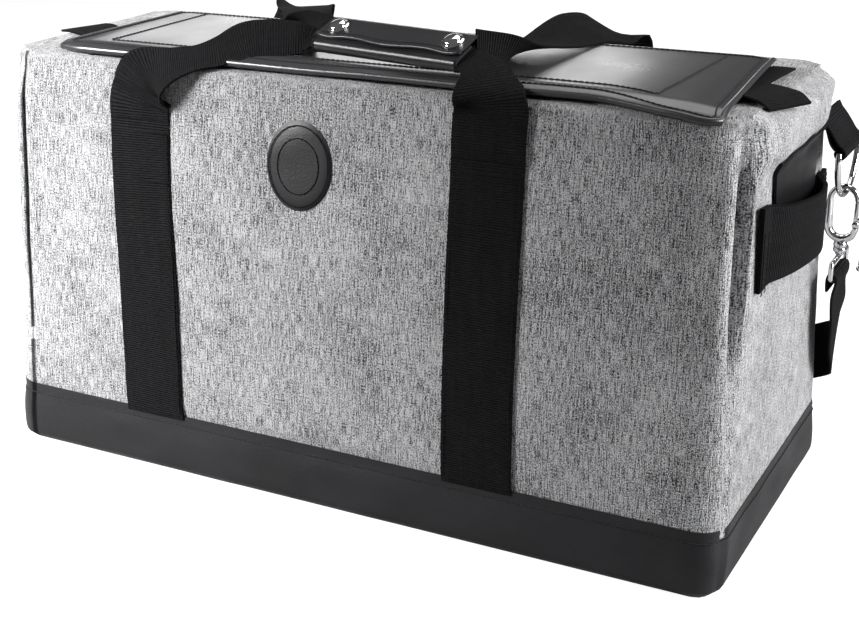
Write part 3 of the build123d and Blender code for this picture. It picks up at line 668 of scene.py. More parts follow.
def make_top_end(side):
    """The fixed cloth that closes one end of the top, slumped a little between its edges."""
    inner = MOUTH[1] + 0.3 if side > 0 else MOUTH[0] - 0.3
    outer = side * (half_length(HEIGHT) - 5.5)

    def place(u, v):
        x = inner + (outer - inner) * (u if side > 0 else 1 - u)
        from_edge = abs(outer - x)
        deep = half_depth(HEIGHT) - 4.2 - 9.0 * (1 - ease(from_edge / 16)) ** 1.5
        y = -deep + 2 * deep * v
        sag = -1.2 * hump(v) * ease(from_edge / 30)
        rumple = 1.3 * ripple(x, y, 0, 26, 5.0) * hump(v, 0.4) * ease(from_edge / 8 + 0.2)
        return (x, y, 292.6 + sag + rumple)

    wide = abs(outer - inner)
    name = "top_end_cloth_right" if side > 0 else "top_end_cloth_left"
    piece = sheet_of(name, 40, 70, place, wide, 175, 1.8, heather_cloth)
    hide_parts("top_end_right" if side > 0 else "top_end_left")
    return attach(piece, "bag")


make_top_end(1)
make_top_end(-1)


def band_place(u, v):
    """The base band: a soft edge at the floor, a slight swell and shallow creases."""
    s = u * PERIMETER
    z = 1.2 + (BAND_TOP - 1.2) * v
    spot, out, *_ = outline_point(s, z)
    swell = 1.6 * hump(v, 0.7) + 1.2 * ripple(spot.x, spot.y, 2 * z, 42, 6.0) * hump(v, 0.5)
    swell -= 5.0 * (1 - ease(z / 9)) ** 2
    past = corner_distance(s)
    if past > 0:
        swell -= 2.2 * max(0.0, 1 - abs(past - SEAM_PAST_CORNER) / 3.5)
    swell += 0.8 * near(v, 1.0, 0.12)
    return Vector((spot.x, spot.y, z)) + out * swell


base_band = sheet_of("base_band", 460, 26, band_place, PERIMETER, BAND_TOP, 2.4, base_leather)
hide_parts("base_band_front", "base_band_rear", "base_band_left", "base_band_right")
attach(base_band, "bag")


def floor_place(u, v):
    x, y = (u - 0.5) * 2, (v - 0.5) * 2
    deep, wide = half_depth(2) - 4.5, half_length(2) - 4.5
    pull = 1 - 0.012 * (abs(x) ** 6 + abs(y) ** 6)
    return (x * wide * pull, y * deep * pull, 1.4 + 0.5 * ripple(x * wide, y * deep, 0, 60, 8.0))


base_floor = sheet_of("base_floor", 90, 44, floor_place, 540, 236, 1.0, base_leather)
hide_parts("bottom_panel")
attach(base_floor, "bag")


def lining_place(u, v):
    """The lining hangs just inside the walls, wrinkled where it is loose."""
    s = u * PERIMETER
    z = 8.0 + 279.0 * v
    inset = 15.0 + 1.8 * hump(v) * (0.5 + 0.5 * ripple(s, 0, z, 46, 9.0))
    spot, *_ = outline_point(s, z, inset)
    return (spot.x, spot.y, z)


lining = sheet_of("lining_bag", 240, 40, lining_place, PERIMETER, 280, 0.6, lining_cloth)


def lining_floor_place(u, v):
    x, y = (u - 0.5) * 2 * 268, (v - 0.5) * 2 * 115
    return (x, y, 7.4 + 0.5 * ripple(x, y, 0, 40, 10.0))


lining_floor = sheet_of("lining_floor", 70, 34, lining_floor_place, 536, 230, 0.6, lining_cloth)
lining = joined("lining_bag", [lining, lining_floor])
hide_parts("lining")
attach(lining, "bag")


# ---------------------------------------------------------------- the zipped top under the flap


def leaf_place(front):
    def place(u, v):
        x = MOUTH[0] + (MOUTH[1] - MOUTH[0]) * u
        hinge, edge = (-86.0, -24.0) if front else (86.0, -16.2)
        across = v if front else 1 - v
        y = hinge + (edge - hinge) * across
        firm = hump(across, 0.5) * hump(u, 0.3)
        return (x, y, 291.6 + 0.5 * firm * ripple(x, y, 0, 30, 11.0) - 0.9 * hump(across))

    return place


for front in (True, False):
    name = "front_leaf" if front else "rear_leaf"
    leaf = sheet_of(f"{name}_cloth", 110, 26, leaf_place(front), 377, 64 if front else 102, 1.6, heather_cloth)
    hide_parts(name)
    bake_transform(leaf)


def coil_teeth(name, low_x, high_x, side):
    """The zip's coil: one small nylon loop, repeated along the tape's edge."""
    bpy.ops.mesh.primitive_torus_add(
        major_segments=8,
        minor_segments=4,
        major_radius=0.00125,
        minor_radius=0.00042,
        location=(low_x * MM + 0.0008, (ZIP_Y + side * 1.55) * MM, 0.2905),
        rotation=(0.25, radians(90), 0),
    )
    tooth = bpy.context.object
    bpy.ops.object.transform_apply(location=True, rotation=True, scale=True)
    count = int((high_x - low_x - 1) / 1.4)
    by_length = {"use_relative_offset": False, "use_constant_offset": True}
    apply(tooth, "ARRAY", count=count, constant_offset_displace=(0.0014, 0, 0), **by_length)
    tooth.name = name
    tooth.select_set(False)
    smooth(tooth, 60)
    dress(tooth, coil_nylon)
    return tooth


def tape_strip(name, low_x, high_x, side):
    """A zip tape with a firm edge where the coil is sewn."""

    def place(u, v):
        y = ZIP_Y + side * (0.4 + 13.2 * (v if side > 0 else 1 - v))
        return (low_x + (high_x - low_x) * u, y, 288.9 + 0.12 * near(abs(y - ZIP_Y), 1.6, 2))

    return sheet_of(name, 60, 12, place, high_x - low_x, 13, 0.8, zip_tape)


for side, name in ((-1, "front"), (1, "rear")):
    tape = tape_strip(f"zip_tape_{name}_cloth", *MOUTH, side)
    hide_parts(f"zip_tape_{name}")
    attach(tape, f"{name}_leaf")
    coil = coil_teeth(f"zip_coil_{name}_teeth", *MOUTH, side)
    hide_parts(f"zip_coil_{name}")
    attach(coil, f"{name}_leaf")
end_pieces = []
for low_x, high_x in ((-223.0, -200.0), (178.0, 238.0)):
    for side in (-1, 1):
        end_pieces.append(tape_strip("zip_end", low_x, high_x, side))
        end_pieces.append(coil_teeth("zip_end_coil", low_x, high_x, side))
zip_ends = joined("zip_ends", end_pieces)
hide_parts("zip_end_tapes")
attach(zip_ends, "bag")


def soft_bar(name, low, high, finish, seed):
    """A flat strip of napped tape or folded cloth between two corners, its faces a little uneven."""
    long = high[0] - low[0]
    wide, thick = high[1] - low[1], high[2] - low[2]
    middle = Vector((0, (low[1] + high[1]) / 2, (low[2] + high[2]) / 2))
    rows = []
    for k in range(61):
        x = low[0] + long * k / 60
        spot = middle + Vector((x, 0.25 * ripple(x, 0, 0, 20, seed), 0))
        rows.append((spot, Vector((0, 1, 0)), Vector((0, 0, 1)), wide, thick))
    return swept(name, rows, flat_outline(10, 0.06), 2 * wide, finish)


NAPPED = (("loop_tape", 292.0, 294.9, "front_leaf"), ("hook_tape", 295.3, 298.2, "top_flap"))
for name, low_z, high_z, body in NAPPED:
    strips = [soft_bar(name, (x, -75.6, low_z), (x + 160, -56.4, high_z), napped_tape, x) for x in (-193.7, 11.7)]
    strip = joined(f"{name}_nap", strips)
    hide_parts(name)
    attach(strip, body)
seam = soft_bar("flap_seam_fold", (-197.0, 40.3, 291.4), (175.0, 47.7, 297.9), flap_vinyl, 12.0)
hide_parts("flap_seam")
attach(seam, "rear_leaf")


# ---------------------------------------------------------------- the flap


def flap_height(x, y):
    """The flap's upper face: flat over the zip, drooping at its lip and at its right front corner."""
    lip = ease((-76 - y) / 12)
    soft = ease((-y - 40) / 46)
    droop = 4.5 * lip * (0.8 + 0.2 * ripple(x, 0, 0, 70, 13.0))
    corner = ease((x - 175) / 75) * ease((-y + 30) / 120)
    ends = max(ease((x - 228) / 22), ease((-203 - x) / 22))
    wave = 0.9 * ripple(x, y, 0, 85, 14.0) * soft
    return FLAP_TOP - droop - 3.5 * corner - 1.6 * ends + 0.5 * wave


def flap_place(u, v):
    x = FLAP_LEFT + (FLAP_RIGHT - FLAP_LEFT) * u
    front = FLAP_FRONT + 1.2 * ripple(x, 0, 0, 80, 15.0) - 9.0 * ease((x - 170) / 80)
    front += 4.0 * ease((-205 - x) / 20) + 3.0 * ease((x - 243) / 7)
    y = front + (FLAP_REAR - front) * v
    x += 3.5 * (1 - v) * ease((x - 200) / 50) - 6.0 * v * ease((x - 200) / 50)
    x += 6.0 * v * ease((-185 - x) / 40)
    return (x, y, flap_height(x, y))


flap = sheet_of("flap_sheet", 200, 64, flap_place, 475, 134, 2.2, flap_vinyl)


def flap_edge():
    """Spots round the flap's free edge, from its rear left to its rear right."""
    steps = [(0.0, 1 - k / 20) for k in range(20)]
    steps += [(k / 80, 0.0) for k in range(81)]
    steps += [(1.0, k / 20) for k in range(1, 21)]
    return [Vector(flap_place(u, v)) for u, v in steps]


edge_rows = []
edge_points = flap_edge()
for k, point in enumerate(edge_points):
    ahead, behind = edge_points[min(k + 1, len(edge_points) - 1)], edge_points[max(k - 1, 0)]
    run = (ahead - behind).normalized()
    across = run.cross(Vector((0, 0, 1))).normalized()
    front = 20 <= k <= 100
    drop, thick = (-1.2, 4.6) if front else (-0.5, 3.2)
    edge_rows.append((point + Vector((0, 0, drop)), across, Vector((0, 0, 1)), 4.0, thick))
hem = swept("flap_hem", edge_rows, round_outline(12), 14, flap_vinyl)


def flap_line(spots):
    """Sewing on the flap along (u, v) places."""
    points = []
    for u, v in spots:
        x, y, z = flap_place(u, v)
        points.append((x, y, z + 0.15, 0, 0, 1))
    return points


def runs_between(corners, step=0.02):
    """Places spread evenly along straight runs between corners."""
    made = []
    for (u0, v0), (u1, v1) in zip(corners, corners[1:]):
        count = max(2, int(max(abs(u1 - u0), abs(v1 - v0) * 0.3) / step))
        made += [(u0 + (u1 - u0) * k / count, v0 + (v1 - v0) * k / count) for k in range(count)]
    return made + [corners[-1]]


FLAP_SEAMS = (
    [(0.011, 0.99), (0.011, 0.042), (0.989, 0.042), (0.989, 0.99)],
    [(0.072, 0.97), (0.072, 0.125), (0.5, 0.115), (0.915, 0.125), (0.935, 0.97)],
    [(0.012, 0.965), (0.988, 0.965)],
)
flap = joined("flap_sheet", [flap, hem])
lines = [stitching("flap_stitch", flap_line(runs_between(corners)), dark_thread) for corners in FLAP_SEAMS]
flap_sewing = joined("flap_sewing", lines)
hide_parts("top_flap")
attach(flap, "top_flap")
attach(flap_sewing, "top_flap")


# ---------------------------------------------------------------- straps, patch and sewing on the walls

THREAD = []


def strap_middle(x, z, side):
    """The middle of a sewn strap at a height; the front left one leans outwards as it rises."""
    lean = STRAP_LEAN if side == "front" and x < 0 else 0.0
    return x + lean * ease((z - 120) / 136)


def strap_rows(x, side):
    """A strap sewn flat on a wall, from under the base band to where its handle comes free."""
    heights = [43.0 + (SEWN_TOP - 43.0) * k / 23 for k in range(24)]
    return [(*front_spot(strap_middle(x, z, side), z, 0.9, side), 1, 0, 0, STRAP_WIDE) for z in heights]


def wall_sewing(places, lift, side, pitch, radius, upward=0.1):
    """A line of thread through (x, z) places on the front or rear wall."""
    out_y = -1 if side == "front" else 1
    row = [(*front_spot(x, z, lift, side), 0, out_y, upward) for x, z in places]
    THREAD.append(stitching("sewing", row, black_thread, pitch, radius))


for side in ("front", "rear"):
    strips = [webbing("strap", strap_rows(x, side), black_webbing, spacing=3.0) for x in STRAPS_X]
    strap = joined(f"{side}_strap_webbing", strips)
    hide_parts(f"{side}_straps")
    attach(strap, "bag")
    for x in STRAPS_X:
        for z in (247.0, 214.0):
            across_strap = [(strap_middle(x, z, side) - 22 + 5.5 * k, z) for k in range(9)]
            wall_sewing(across_strap, 1.9, side, 3.4, 0.4)
        for edge in (-22.6, 22.6):
            heights = [48.0 + 199.0 * k / 19 for k in range(20)]
            wall_sewing([(strap_middle(x, z, side) + edge, z) for z in heights], 1.85, side, 3.6, 0.35)


def patch_place(lift, grow):
    """The plain oval patch: spokes out from its middle, tucked down at the rim."""

    def place(u, v):
        angle, reach = 2 * pi * u, v
        x = PATCH_X + PATCH_HALF_WIDE * grow * reach * cos(angle)
        z = PATCH_Z + PATCH_HALF_TALL * grow * reach * sin(angle)
        spot = front_spot(x, z, lift + 1.5 * (1 - reach**8))
        return (spot.x, spot.y, spot.z)

    return place


patch = cloth_grid("patch_leather_oval", 72, 14, patch_place(0.2, 1.0), 150, 29)
in_edit(patch, merge, face_out)
smooth(patch, 70)
dress(patch, patch_leather)
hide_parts("front_patch")
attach(patch, "bag")
for reach in (0.90, 0.62):
    wide, tall = PATCH_HALF_WIDE * reach, PATCH_HALF_TALL * reach
    angles = [2 * pi * k / 48 for k in range(49)]
    ring = [(PATCH_X + wide * cos(a), PATCH_Z + tall * sin(a)) for a in angles]
    wall_sewing(ring, 1.75, "front", 3.2, 0.38, upward=0.11)

band_line = []
for k in range(241):
    s = PERIMETER * k / 240
    x, y, z = band_place(k / 240, 0.84)
    _, out, *_ = outline_point(s, z)
    band_line.append((x + out.x * 0.1, y + out.y * 0.1, z, out.x, out.y, 0))
THREAD.append(stitching("sewing", band_line, dark_thread, 4.2, 0.4, 0.8))
bag_sewing = joined("bag_sewing", THREAD)
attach(bag_sewing, "bag")


# ---------------------------------------------------------------- the carry handle

GRIP_ORIGIN = Vector((32.0, -64.0, 313.0))
YAW, TILT = radians(-11), radians(24)
GRIP_X = Vector((cos(YAW), sin(YAW), 0))
GRIP_N = Vector((sin(TILT) * sin(YAW), -sin(TILT) * cos(YAW), cos(TILT)))
GRIP_Y = GRIP_N.cross(GRIP_X)
GRIP_HALF = 59.0


def on_grip(x, y, z):
    return GRIP_ORIGIN + GRIP_X * x + GRIP_Y * y + GRIP_N * z


def leg_end(sign, rearward):
    """The last stations of a leg as it runs into the grip's end."""
    spots = [on_grip(sign * (GRIP_HALF + out), rearward * 7.0, 0.0) for out in (9.0, 0.6)]
    return [(*spot, *GRIP_Y, LEG_END_WIDE) for spot in spots]


def leg_start(x, side, lean):
    """The first stations, where the leg leaves the sewn strap."""
    starts = ((SEWN_TOP - 1.5, 1.0), (SEWN_TOP + 9.0, 2.0))
    return [(*front_spot(x + lean, z, lift, side), 1, 0, 0, STRAP_WIDE) for z, lift in starts]


def on_wall(x, z, side):
    """A station lying on the wall's cloth above the sewn strap."""
    return (*front_spot(x, z, 2.3, side), 1, 0, 0, STRAP_WIDE)


def flipped(stations):
    """The same stations with the width direction turned over."""
    return [(*s[:3], -s[3], -s[4], -s[5], s[6]) for s in stations]


LEGS = {
    "handle_leg_front_left": (
        leg_start(-142, "front", STRAP_LEAN)
        + [
            on_wall(-147, 272, "front"),
            on_wall(-144, 279, "front"),
            (-135, -96.0, 286.5, 0.86, -0.36, -0.33, 42),
            (-121, -93.5, 293, 0.62, -0.6, -0.5, 30),
            (-105, -89.5, 298, 0.35, -0.7, -0.65, 22),
            (-89, -84, 303, 0.2, -0.6, -0.8, 23),
            (-74, -76, 309, 0.05, -0.5, -0.85, 27),
            (-58, -69, 311, 0.0, -0.5, -0.86, 26),
            (-44, -62, 311, -0.05, -0.7, -0.7, 25),
        ]
        + flipped(leg_end(-1, -1))
    ),
    "handle_leg_front_right": (
        leg_start(114, "front", 0)
        + [
            on_wall(114, 276, "front"),
            on_wall(114, 285, "front"),
            (112, -95.5, 295, 0.93, 0.2, -0.1, 44),
            (106, -88, 305, 0.65, 0.6, 0.2, 32),
        ]
        + leg_end(1, -1)
    ),
    "handle_leg_rear_left": (
        leg_start(-142, "rear", 0)
        + [
            on_wall(-142, 276, "rear"),
            on_wall(-141, 286, "rear"),
            (-138, 95, 296, 0.98, -0.1, 0.08, 47),
            (-128, 84, 303, 0.9, -0.3, 0.15, 44),
            (-108, 56, 308, 0.85, -0.5, 0.1, 40),
            (-86, 20, 309, 0.85, -0.5, 0.1, 36),
            (-62, -14, 308.5, 0.75, -0.35, -0.45, 30),
            (-44, -36, 311.5, 0.3, -0.7, -0.55, 25),
        ]
        + flipped(leg_end(-1, 1))
    ),
    "handle_leg_rear_right": (
        leg_start(114, "rear", 0)
        + [
            on_wall(118, 276, "rear"),
            on_wall(123, 285, "rear"),
            (121, 90, 300, 0.88, 0.2, -0.42, 46),
            (112, 60, 308, 0.9, 0.25, -0.35, 42),
            (105, 18, 306, 0.93, 0.25, -0.1, 38),
            (101, -20, 306, 0.75, 0.45, 0.2, 30),
            (102, -45, 308.5, 0.4, 0.75, 0.5, 26),
        ]
        + leg_end(1, 1)[1:]
    ),
}
LEG_NODE = {"front": "handle_legs_front", "rear": "handle_legs_rear"}
for name, stations in LEGS.items():
    leg = webbing(name, stations, black_webbing, spacing=2.6)
    side = "front" if "front" in name else "rear"
    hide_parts(LEG_NODE[side])
    start, end = Vector(stations[1][:3]) * MM, Vector(stations[-1][:3]) * MM
    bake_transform(leg)


def grip_band(name, path, long, thick, finish, bow=0.0):
    """A strip as long as the grip, bent round it along a path of (y, z) in the grip's own axes."""
    dense = smooth_rows([[y, z, 0.0] for y, z in path], 0.8)

    def place(u, v):
        k = round(v * (len(dense) - 1))
        y, z, _ = dense[k]
        x = (u - 0.5) * long
        dip = bow * (1 - (2 * u - 1) ** 2)
        return on_grip(x, y + dip * 0.3, z - dip)

    run = sum(math.dist(a, b) for a, b in zip(dense, dense[1:]))
    piece = cloth_grid(name, 60, len(dense) - 1, place, long, run)
    apply(piece, "SOLIDIFY", thickness=thick * MM, offset=0, use_even_offset=True)
    in_edit(piece, merge, face_out)
    smooth(piece, 55)
    dress(piece, finish)
    return piece


WRAP_PATH = [
    (4, 2.8), (-8, 2.8), (-12.6, 2.5), (-14.1, 0.2), (-13.6, -3.0), (-10, -4.8),
    (0, -4.9), (10, -4.8), (13.6, -3.0), (14.0, 0.2), (13.9, 1.8),
]
BINDING_PATH = [
    [-9, 3.6, 0.0], [-13, 3.3, 0.0], [-14.9, 0.2, 0.0], [-14.3, -3.4, 0.0], [-10, -5.6, 0.0],
    [0, -5.8, 0.0], [10, -5.6, 0.0], [14.3, -3.4, 0.0], [14.8, 0.2, 0.0],
]
wrap = grip_band("grip_wrap_leather", WRAP_PATH, 2 * GRIP_HALF, 1.7, wrap_leather)
binding = []
for x in (-GRIP_HALF + 0.7, GRIP_HALF - 0.7):
    rows = framed([[*on_grip(x, y, z), *GRIP_X, 2.2, 1.0] for y, z, _ in smooth_rows(BINDING_PATH, 1.5)])
    binding.append(swept("binding", rows, round_outline(8), 5, fine_webbing))
wrap = joined("grip_wrap_leather", [wrap] + binding)
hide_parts("grip_wrap")
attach(wrap, "carry_handle")

for name, z in (("grip_webbing_front", -2.6), ("grip_webbing_rear", 0.1)):
    stations = [(*on_grip(x, 0, z), *GRIP_Y, 25.6) for x in (-GRIP_HALF + 0.2, -30, 0, 30, GRIP_HALF - 0.2)]
    layer = webbing(f"{name}_layer", stations, black_webbing, 2.1)
    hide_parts(name)
    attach(layer, "carry_handle")


def leaf_spot(u, v):
    """The wrap's leaf: from its fold along the rear edge, over the top, to a waved front edge."""
    x = (u - 0.5) * 2 * (GRIP_HALF - 0.3)
    tip = -8.2 - 1.2 * cos(4 * pi * u) + 2.6 * (2 * abs(u - 0.5)) ** 8
    y = 14.4 + (tip - 14.4) * v
    round_off = 1.5 * (1 - ease((14.6 - y) / 3.2))
    lift = 0.6 * ease(v) * (1 - near(abs(x), SNAP_X, 14)) * v
    return on_grip(x, y, 5.05 - round_off + lift)


leaf = sheet_of("wrap_leaf_sheet", 90, 26, leaf_spot, 118, 26, 1.5, wrap_leather, side=0)
leaf_rows = [(leaf_spot(k / 90, 1.0), GRIP_Y, GRIP_N, 2.4, 2.4) for k in range(91)]
leaf_hem = swept("leaf_hem", leaf_rows, round_outline(8), 6, wrap_leather)
sew = [(*(leaf_spot(0.02 + 0.96 * k / 45, 0.86) + GRIP_N * 0.8), *GRIP_N) for k in range(46)]
leaf_sewing = stitching("leaf_sewing", sew, dark_thread, 3.2, 0.33)
leaf = joined("wrap_leaf_sheet", [leaf, leaf_hem])
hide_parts("wrap_leaf")
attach(leaf, "wrap_leaf")
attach(leaf_sewing, "wrap_leaf")


def turned(name, foot, axis, profile, finish, sides=40):
    """A turned piece: (height, radius) pairs up an axis from its foot."""
    axis = Vector(axis).normalized()
    across = axis.orthogonal().normalized()
    out = across.cross(axis)
    rows = [(Vector(foot) + axis * h, across, out, 2 * r, 2 * r) for h, r in profile]
    return swept(name, rows, round_outline(sides), 2 * pi * max(r for _, r in profile), finish)


SNAP_PROFILE = [
    (0.0, 7.2), (0.5, 7.5), (1.0, 7.45), (1.3, 7.0), (1.5, 6.3), (1.75, 6.1),
    (2.5, 5.9), (3.2, 5.2), (3.8, 4.0), (4.1, 2.6), (4.2, 1.2), (4.22, 0.05),
]
caps = [turned("snap", on_grip(x, 2.0, 5.7), GRIP_N, SNAP_PROFILE, chrome, 44) for x in (-SNAP_X, SNAP_X)]
caps = joined("snap_domes", caps)
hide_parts("snap_caps")
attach(caps, "wrap_leaf")


# ---------------------------------------------------------------- the ends: tabs, grab handles, rings and clasps

tab_left = webbing(
    "end_tab_left_webbing",
    [
        (-225, -25, 293.3, 0.15, 1, 0, 37),
        (-240, -19, 293.7, 0.2, 1, 0, 37),
        (-258, -12, 294.4, 0.25, 1, 0, 37),
        (-271, -6, 293.2, 0.3, 1, 0, 37),
    ],
    black_webbing,
    spacing=2.0,
)
tab_right = webbing(
    "end_tab_right_webbing",
    [
        (232, -13, 293.8, 0.4, 1, 0, 36),
        (247, -22, 295.2, 0.45, 1, 0, 36),
        (262, -32, 295.8, 0.5, 1, 0, 36),
        (273, -40, 295.2, 0.5, 1, 0, 36),
        (280, -44, 291.5, 0.5, 1, 0, 35),
    ],
    black_webbing,
    spacing=2.0,
)
garage = webbing(
    "zip_garage",
    [
        (243, -24, 295.0, 1, 0.1, 0, 22),
        (247, 4, 296.0, 1, 0.1, 0, 22),
        (250, 32, 295.6, 1, 0.1, 0, 19),
        (252, 47, 294.4, 1, 0.1, 0, 15),
    ],
    black_webbing,
    spacing=2.0,
)
tab_right = joined("end_tab_right_webbing", [tab_right, garage])
for side, tab in (("left", tab_left), ("right", tab_right)):
    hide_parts(f"end_tab_{side}")
    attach(tab, "bag")


def grab_stations():
    """The grab handle: sewn flat at both ends and standing off the wall between them."""
    route = [
        (0.8, -79, 52, 9), (0.8, -70, 51, 9), (2.4, -64, 49, 9), (9, -50, 45, 8),
        (13, -34, 43, 7), (16, -14, 41, 6), (16, 6, 40, 4), (13, 26, 40, 2),
        (9, 42, 40, 0), (2.4, 56, 41, 0), (0.8, 62, 42, 0), (0.8, 71, 42, 0),
    ]
    made = []
    for off, y, wide, drop in route:
        proud = end_spot(max(min(y, 74), -74), GRAB_Z).x - half_length(GRAB_Z) + 0.6
        x = half_length(GRAB_Z) + 1.6 + max(off, proud)
        made.append((x, y, GRAB_Z + drop, 0, 0, 1, wide))
    return made


def end_patch_place(u, v):
    """The vinyl patch above the grab handle, its upper edge under the rolled top and its corners cut."""
    z = 190.0 + 71.0 * v
    y = -5 + (u - 0.5) * (104 - 10 * hump(v))
    spot = end_spot(y, z, 1.9)
    return (spot.x + 0.5 * ripple(0, y, z, 22, 16.0), y, z)


def ring_tab_stations():
    """The ring's tab: down from the end wall, round the ring's bar and back up behind itself."""
    route = [(-1.0, 263), (4.0, 258.5), (9.0, 252), (13.2, 245.8), (16.5, 243.4)]
    made = [(half_length(268) + out + 1.5, RING_Y, z, 0, 1, 0, 50.0) for out, z in route]
    x = half_length(RING_Z) + 16
    for angle in range(60, -211, -30):
        made.append((x + 3.4 * cos(radians(angle)), RING_Y, RING_Z + 3.4 * sin(radians(angle)), 0, 1, 0, 50.0))
    back = ((x - 6.5, 246.0), (half_length(256) + 6.0, 256), (half_length(264) + 2.0, 264))
    return made + [(x, RING_Y, z, 0, 1, 0, 50.0) for x, z in back]


def pair(piece, label, node_name, body):
    """Fit a right-hand piece and its mirror image on the left, each on its own body."""
    twin = mirrored(piece, f"{label}_left")
    piece.name = f"{label}_right"
    for made, side in ((piece, "right"), (twin, "left")):
        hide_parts(f"{node_name}_{side}")
        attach(made, body.format(side=side))
    return piece, twin


grab = webbing("grab", grab_stations(), black_webbing, 3.0, 2.6)
grab_sew = []
for y in (-76.5, -68.5, 60.5, 68.5):
    row = [(grab_stations()[0][0] + 1.7, y, GRAB_Z - 19 + 4.75 * k, 1, 0, 0) for k in range(9)]
    grab_sew.append(stitching("sewing", row, black_thread, 3.2, 0.35))
pair(joined("grab", [grab] + grab_sew), "grab_handle_webbing", "grab_handle", "bag")
end_patch = sheet_of("end_patch", 60, 40, end_patch_place, 104, 71, 1.5, end_vinyl, side=0)
pair(end_patch, "end_patch_vinyl", "end_patch", "bag")
pair(webbing("ring_tab", ring_tab_stations(), black_webbing, 1.6, 1.6), "ring_tab_webbing", "ring_tab", "bag")

RING_X = half_length(RING_Z) + 16
ring_path = [(RING_Y - 28 + 4.0 * k, RING_Z) for k in range(1, 14)]
arc_radius = (28.0**2 + 32.0**2) / 64
arc_z = RING_Z - 32 + arc_radius
start = atan2(RING_Z - arc_z, 28.0)
for k in range(41):
    angle = start - (pi + 2 * start) * k / 40
    ring_path.append((RING_Y + arc_radius * cos(angle), arc_z + arc_radius * sin(angle)))
ring_path.append(ring_path[0])
ring_rows = framed([[RING_X, y, z, 1, 0, 0, 4.0, 4.0] for y, z in ring_path], closed=True)
pair(swept("ring", ring_rows, round_outline(18), 12, chrome, closed=True), "d_ring_wire", "d_ring", "ring_{side}")

HOOK_OUT, HOOK_LOW_Z, HOOK_TOP_Z = 9.0, 185.3, 203.3
hook_path = [(HOOK_OUT, 187.6, 3.2, 3.2)]
for k in range(0, 13):
    angle = -pi * k / 12
    hook_path.append((HOOK_OUT * cos(angle), HOOK_LOW_Z + HOOK_OUT * sin(angle), 5.6 if k > 2 else 4.2, 6.0))
hook_path += [(-HOOK_OUT, 189.0, 5.4, 6.0), (-HOOK_OUT, 194.3, 5.0, 5.6), (-HOOK_OUT, 199.5, 4.6, 5.4)]
for k in range(0, 13):
    angle = pi - pi * k / 12
    hook_path.append((HOOK_OUT * cos(angle), HOOK_TOP_Z + HOOK_OUT * sin(angle), 4.0, 5.0 - 0.08 * k))
hook_path.append((HOOK_OUT, 203.35, 3.6, 3.9))
hook_dense = smooth_rows([list(p) for p in hook_path], 1.2)
hook_rows = framed([[RING_X + x, RING_Y, z, 0, 1, 0, thick, wide] for x, z, wide, thick in hook_dense])
hook = swept("hook", hook_rows, round_outline(16), 14, chrome)
BOSS_PROFILE = [
    (0.0, 3.9), (0.5, 4.5), (1.5, 4.65), (2.6, 4.5), (3.2, 4.0),
    (3.8, 4.4), (5.0, 4.65), (6.4, 4.4), (7.4, 3.6), (8.0, 2.6),
]
CHEEK_PROFILE = [(0, 2.3), (0.9, 2.3), (1.3, 1.9), (1.35, 0.05)]
NECK_PROFILE = [(0, 2.4), (0.8, 3.0), (1.5, 3.2), (1.9, 2.15), (4.5, 2.15), (4.6, 0.05)]
boss = turned("boss", (RING_X, RING_Y, 167.3), (0, 0, 1), BOSS_PROFILE, chrome, 32)
cheeks = [
    turned("cheek", (RING_X + HOOK_OUT, RING_Y + 1.35 * way, 187.3), (0, way, 0), CHEEK_PROFILE, chrome, 24)
    for way in (1, -1)
]
pair(joined("hook", [hook, boss] + cheeks), "clasp_hook_claw", "clasp_hook", "clasp_{side}")

GATE_WIDTHS = ((186.4, 2.6), (187.6, 3.6), (190, 3.8), (196, 3.4), (201.5, 3.2), (202.6, 2.6))
gate = framed([[RING_X + HOOK_OUT, RING_Y, z, 0, 1, 0, 2.0, wide] for z, wide in GATE_WIDTHS])
gate_bar = swept("gate", gate, round_outline(12), 8, chrome)
lever = [
    [HOOK_OUT + 1.0, 190.6, 2.2], [HOOK_OUT + 3.0, 191.4, 2.2], [HOOK_OUT + 4.6, 190.4, 2.2],
    [HOOK_OUT + 5.0, 187.0, 2.1], [HOOK_OUT + 5.0, 178, 1.9], [HOOK_OUT + 5.0, 166, 1.9], [HOOK_OUT + 5.0, 159.6, 2.2],
]
stem_rows = framed([[RING_X + x, RING_Y, z, 0, 1, 0, w, w] for x, z, w in smooth_rows(lever, 1.2)])
stem = swept("stem", stem_rows, round_outline(12), 7, chrome)
BALL_PROFILE = [
    (-2.2, 0.05), (-2.1, 0.7), (-1.7, 1.4), (-1.0, 1.96), (0.0, 2.2), (1.0, 1.96), (1.7, 1.4), (2.1, 1.0), (2.6, 0.9),
]
ball = turned("ball", (RING_X + HOOK_OUT + 5.0, RING_Y, 157.1), (0, 0, 1), BALL_PROFILE, chrome, 24)
pair(joined("gate", [gate_bar, stem, ball]), "clasp_gate_lever", "clasp_gate", "gate_{side}")

EYE_MID, EYE_Y, EYE_Z, EYE_BEND = 158.8, 21.9, 5.8, 2.5
eye_path = []
for quarter, (cy, cz) in enumerate(((1, 1), (-1, 1), (-1, -1), (1, -1))):
    for k in range(5):
        angle = pi / 2 * (quarter + k / 4)
        y = RING_Y + cy * (EYE_Y - EYE_BEND) + EYE_BEND * cos(angle)
        eye_path.append((y, EYE_MID + cz * (EYE_Z - EYE_BEND) + EYE_BEND * sin(angle)))
eye_path.append(eye_path[0])
eye_rows = framed([[RING_X, y, z, 1, 0, 0, 3.4, 3.4] for y, z in eye_path], closed=True)
eye = swept("eye", eye_rows, round_outline(14), 11, chrome, closed=True)
neck = turned("neck", (RING_X, RING_Y, 165.0), (0, 0, 1), NECK_PROFILE, chrome, 24)
pair(joined("eye", [eye, neck]), "clasp_eye_frame", "clasp_eye", "eye_{side}")


# ---------------------------------------------------------------- the shoulder strap

